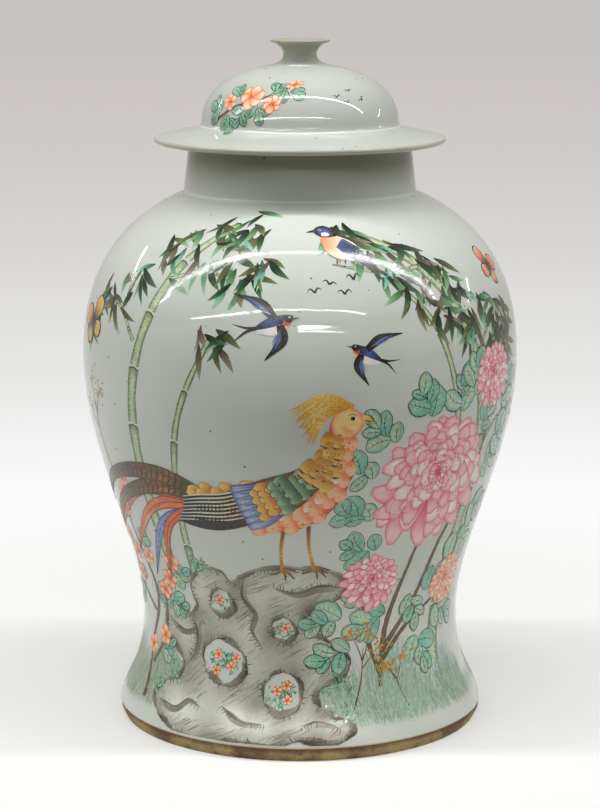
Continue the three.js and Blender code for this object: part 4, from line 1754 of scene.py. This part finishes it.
# %% Paint the rock
rock_place = Place(jar, -17, 12)
rock(rock_place, [
    (-60, 4), (-66, 12), (-58, 22), (-48, 26), (-44, 36), (-52, 44), (-60, 52), (-58, 64), (-47, 69),
    (-38, 64), (-33, 70), (-36, 82), (-28, 93), (-16, 94), (-9, 88), (-2, 92), (8, 97), (24, 98), (42, 97),
    (53, 90), (50, 80), (38, 75), (30, 69), (32, 60), (42, 54), (54, 43), (50, 33), (40, 29), (37, 22),
    (44, 14), (56, 10), (60, 3), (48, -3), (30, 0), (16, -5), (-4, -2), (-22, -6), (-44, -3),
], [
    [(-28, 34), (-15, 27), (-4, 33), (-5, 46), (-18, 53), (-29, 46)],
    [(8, 20), (18, 13), (28, 19), (27, 32), (16, 37), (8, 30)],
    [(-24, 70), (-16, 66), (-9, 72), (-12, 81), (-21, 81)],
    [(12, 57), (20, 53), (25, 60), (20, 68), (12, 65)],
], 31)
for number, (path, width) in enumerate((
    ([(-58, 60), (-46, 54), (-36, 56), (-30, 62)], 1.8),
    ([(-2, 92), (-4, 80), (2, 70), (0, 60), (6, 50)], 1.6),
    ([(51, 86), (38, 87), (26, 83), (14, 86)], 2.2),
    ([(46, 50), (36, 46), (30, 38)], 1.8),
    ([(-62, 12), (-48, 10), (-38, 16), (-30, 14)], 1.8),
    ([(-38, 64), (-34, 54), (-36, 42), (-42, 34)], 1.8),
    ([(30, 8), (40, 10), (52, 6)], 1.6),
    ([(-16, 16), (-4, 9), (10, 8)], 2.0),
)):
    ridge(rock_place, path, width, 600 + number)
for number, (spot, reach, count) in enumerate((
    ((-16, 40), 9, 60), ((18, 25), 8, 50), ((-17, 74), 5, 24), ((18, 61), 5, 24), ((-56, 70), 9, 50),
    ((-30, 96), 7, 40), ((48, 28), 9, 60), ((40, 66), 7, 40), ((-52, 32), 9, 60), ((56, 14), 7, 40),
    ((-66, 20), 6, 30),
)):
    moss_dots(rock_place, spot, reach, count, 300 + number)
for number, spot in enumerate([
    (-20, 44), (-12, 38), (-21, 35), (-9, 43), (15, 27), (21, 22), (20, 30), (-18, 76), (19, 62),
]):
    blossom(rock_place, spot, 2.8, 320 + number)
print("rock painted")

# %% Paint the flowers
flowers, quince = Place(jar, 40, 150), Place(jar, -62, 20)
for path, width in (
    ([(-18, -118), (-14, -84), (-6, -52), (0, -24)], 3.2),
    ([(-16, -98), (4, -70), (16, -34), (34, 10), (38, 34)], 2.6),
    ([(-18, -110), (-26, -86), (-30, -66)], 2.4),
    ([(-17, -104), (2, -84), (26, -70), (34, -62)], 2.4),
):
    branch(flowers, path, width, int(width * 10), woody=True)
sprays(flowers, 400, 5, 15, 18, [
    (-20, -60, 200), (-28, -36, 170), (-36, -18, 160), (-14, -76, 210), (0, -66, 300), (14, -52, 320),
    (30, -34, 330), (38, -18, 350), (40, 4, 20), (30, 28, 60), (12, 40, 95), (-10, 40, 120), (-30, 28, 140),
    (-40, 8, 170), (24, -78, 330), (8, -92, 290), (-34, -96, 200), (46, 20, 10), (52, 40, 40), (22, 48, 80),
    (-40, -76, 190)])
chrysanthemum(flowers, 43, 51)
chrysanthemum(Place(jar, 23, 96), 19, 52, open_side=-120, rings=5)
chrysanthemum(Place(jar, 60, 205), 20, 53, open_side=-60, rings=5)
chrysanthemum(Place(jar, 60, 88), 17, 54, open_side=-40, rings=5, tones=corals)
for path, width in (
    ([(0, 0), (-6, 30), (4, 62), (-6, 100), (2, 130)], 3.0),
    ([(-2, 20), (10, 40), (14, 66), (26, 84)], 2.2),
    ([(-1, 50), (-16, 64), (-20, 90)], 2.0),
):
    branch(quince, path, width, 77, woody=True)
sprays(quince, 580, 4, 10, 10, [
    (4, 60, 40), (-10, 66, 150), (18, 60, -10), (-16, 56, 190), (6, 28, 20), (-4, 92, 30), (-2, 108, 150),
    (24, 78, 10)])
for number, spot in enumerate([
    (2, 132), (-6, 112), (4, 84), (14, 66), (27, 85), (-20, 92), (-14, 70), (9, 38), (-5, 30), (21, 74),
    (-3, 122), (-12, 84),
]):
    blossom(quince, spot, 5.8, 560 + number)
print("flowers painted")

# %% Paint the birds
pheasant(Place(jar, -12, 105), 61)
perched(right_stand.near(-70, 243, mirror=-1, size=1.1))
swallow(Place(jar, -7, 242, turn=14))
swallow(Place(jar, 17, 226, turn=-24, size=0.85, mirror=-1))
butterfly(Place(jar, 70, 262, turn=-30, size=0.8), (coral, peach))
butterfly(Place(jar, -70, 232, turn=24, size=0.95))
far_birds(jar, 7, 540, [(8, 262, -15), (12, 257, -6), (15, 264, 3), (4, 258, 12), (38, 248, 21)])
for degrees, height, lean, length, seed in (
    (-66, 150, 96, 40, 1), (18, 26, 78, 34, 2), (76, 150, 84, 40, 4), (110, 40, 90, 44, 6),
    (-120, 36, 95, 40, 7), (38, 24, 100, 26, 8),
):
    sprig(Place(jar, degrees, height), lean, length, 500 + seed)
print("front painted")

# %% Paint the back
back_stand, back_flowers = Place(jar, 205, 40), Place(jar, 158, 120)
culm(back_stand, [(0, 0), (-6, 70), (-2, 140), (12, 200), (34, 244)], 8.5, 81)
culm(back_stand, [(-12, 20), (-22, 80), (-26, 150), (-16, 196)], 5, 82)
branch(back_stand, [(2, 180), (-14, 200), (-30, 204)], 2.0, 83)
bamboo_leaves(back_stand, 700, 8, 16, [
    (34, 246), (22, 232), (10, 214), (-4, 206), (-18, 204), (-32, 206), (46, 238), (-16, 190)])
rock(Place(jar, 186, 14), [
    (-30, 0), (-36, 12), (-28, 24), (-32, 36), (-20, 46), (-4, 44), (6, 52), (20, 48), (24, 36), (34, 28),
    (30, 14), (38, 4), (20, -3), (0, 0), (-16, -4),
], [[(-10, 18), (2, 14), (8, 22), (0, 31), (-9, 28)]], 84, lines=500)
branch(back_flowers, [(4, -96), (-4, -50), (0, 0)], 2.6, 85, woody=True)
branch(back_flowers, [(2, -80), (20, -50), (24, -26)], 2.2, 86, woody=True)
sprays(back_flowers, 720, 4, 14, 16, [
    (-4, -40, 170), (2, -56, 20), (-12, -12, 150), (16, -30, 10), (-2, -70, 200), (14, 14, 60),
    (-14, 14, 120), (24, -34, 330)])
chrysanthemum(back_flowers, 23, 87, corals, rings=6)
chrysanthemum(back_flowers.near(26, -20), 14, 88, corals, rings=5)
butterfly(Place(jar, 172, 214, turn=20, size=0.9))
swallow(Place(jar, 136, 240, turn=12, size=0.9, mirror=-1))
far_birds(jar, 6, 740, [(228, 250, 0), (232, 244, 0), (120, 262, 0)])
print("back painted")

# %% Paint the lid
for degrees, seed, enamel, tones in ((-34, 91, "coral", corals), (150, 92, "pink", pinks)):
    spot = Place(lid, degrees, 350)
    branch(spot, [(-24, -12), (-8, -2), (8, 4), (22, 14)], 1.6, seed, woody=True)
    sprays(spot, seed * 9, 3, 9, 8, [
        (-20, -8, 120), (-12, -5, 290), (-4, 2, 110), (6, 2, 300), (12, 6, 70), (18, 10, -20), (0, -2, 250),
        (-16, -4, 190)], (mint, green))
    for number, (x, y, size) in enumerate([(2, 5, 7.5), (-12, 1, 5), (15, 1, 5.5), (22, 15, 4)]):
        blossom(spot, (x, y), size, seed * 7 + number, tones, enamel, petals=6)
far_birds(lid, 4.5, 760, [(24, 354, -10), (30, 351, 2), (35, 357, 14), (42, 352, 26)])
print("lid painted")


# %% Fire the enamel
def fire(vessel):
    """Makes one mesh of each enamel on a vessel and of each kind of small mark."""
    print(vessel.name, "thickest paint", round(vessel.thickness.max() / MM, 2), "mm before firing")
    jobs = []
    for enamel, rows in vessel.lenses.items():
        *values, faces = zip(*rows)
        starts = np.cumsum([0, *map(len, values[0])])
        faces = [[index + start for index in face] for start, group in zip(starts, faces) for face in group]
        jobs.append((enamel, enamel, enamel_layer, {}, faces, map(np.concatenate, values)))
    for (piece, enamel, kind), rows in vessel.marks.items():
        mark = {"Mark": mark_shapes[kind]}
        jobs.append((piece, enamel, marks_layer, mark, [], map(np.concatenate, zip(*rows))))
    kinds = (("bearing", "FLOAT", "value"), ("paint", "FLOAT_COLOR", "color"), ("turn", "FLOAT", "value"),
        ("reach", "FLOAT_VECTOR", "vector"))
    for piece, enamel, tree, mark, faces, (points, *values) in jobs:
        values[1] = np.column_stack([values[1], np.ones(len(points))])
        thing = new_object(f"{vessel.name}_{piece}", vessel.fired(points, values[0]).tolist(), faces=faces)
        for (name, kind, key), column in zip(kinds, values):
            attribute = thing.data.attributes.new(name, kind, "POINT")
            attribute.data.foreach_set(key, np.ascontiguousarray(column, dtype=np.float32).ravel())
        run_tree(thing, tree, {"Outline": vessel.line, "Enamel": enamels[enamel], **mark})
        finish_piece(thing, vessel.name)


fire(jar)
fire(lid)
for helper in [jar.line, lid.line, *mark_shapes.values()]:
    bpy.data.objects.remove(helper)

# %% Print the sizes
size = {"cad": [list(corner) for corner in cad_box], "visual": [list(corner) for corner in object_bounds()]}
print("size", size)
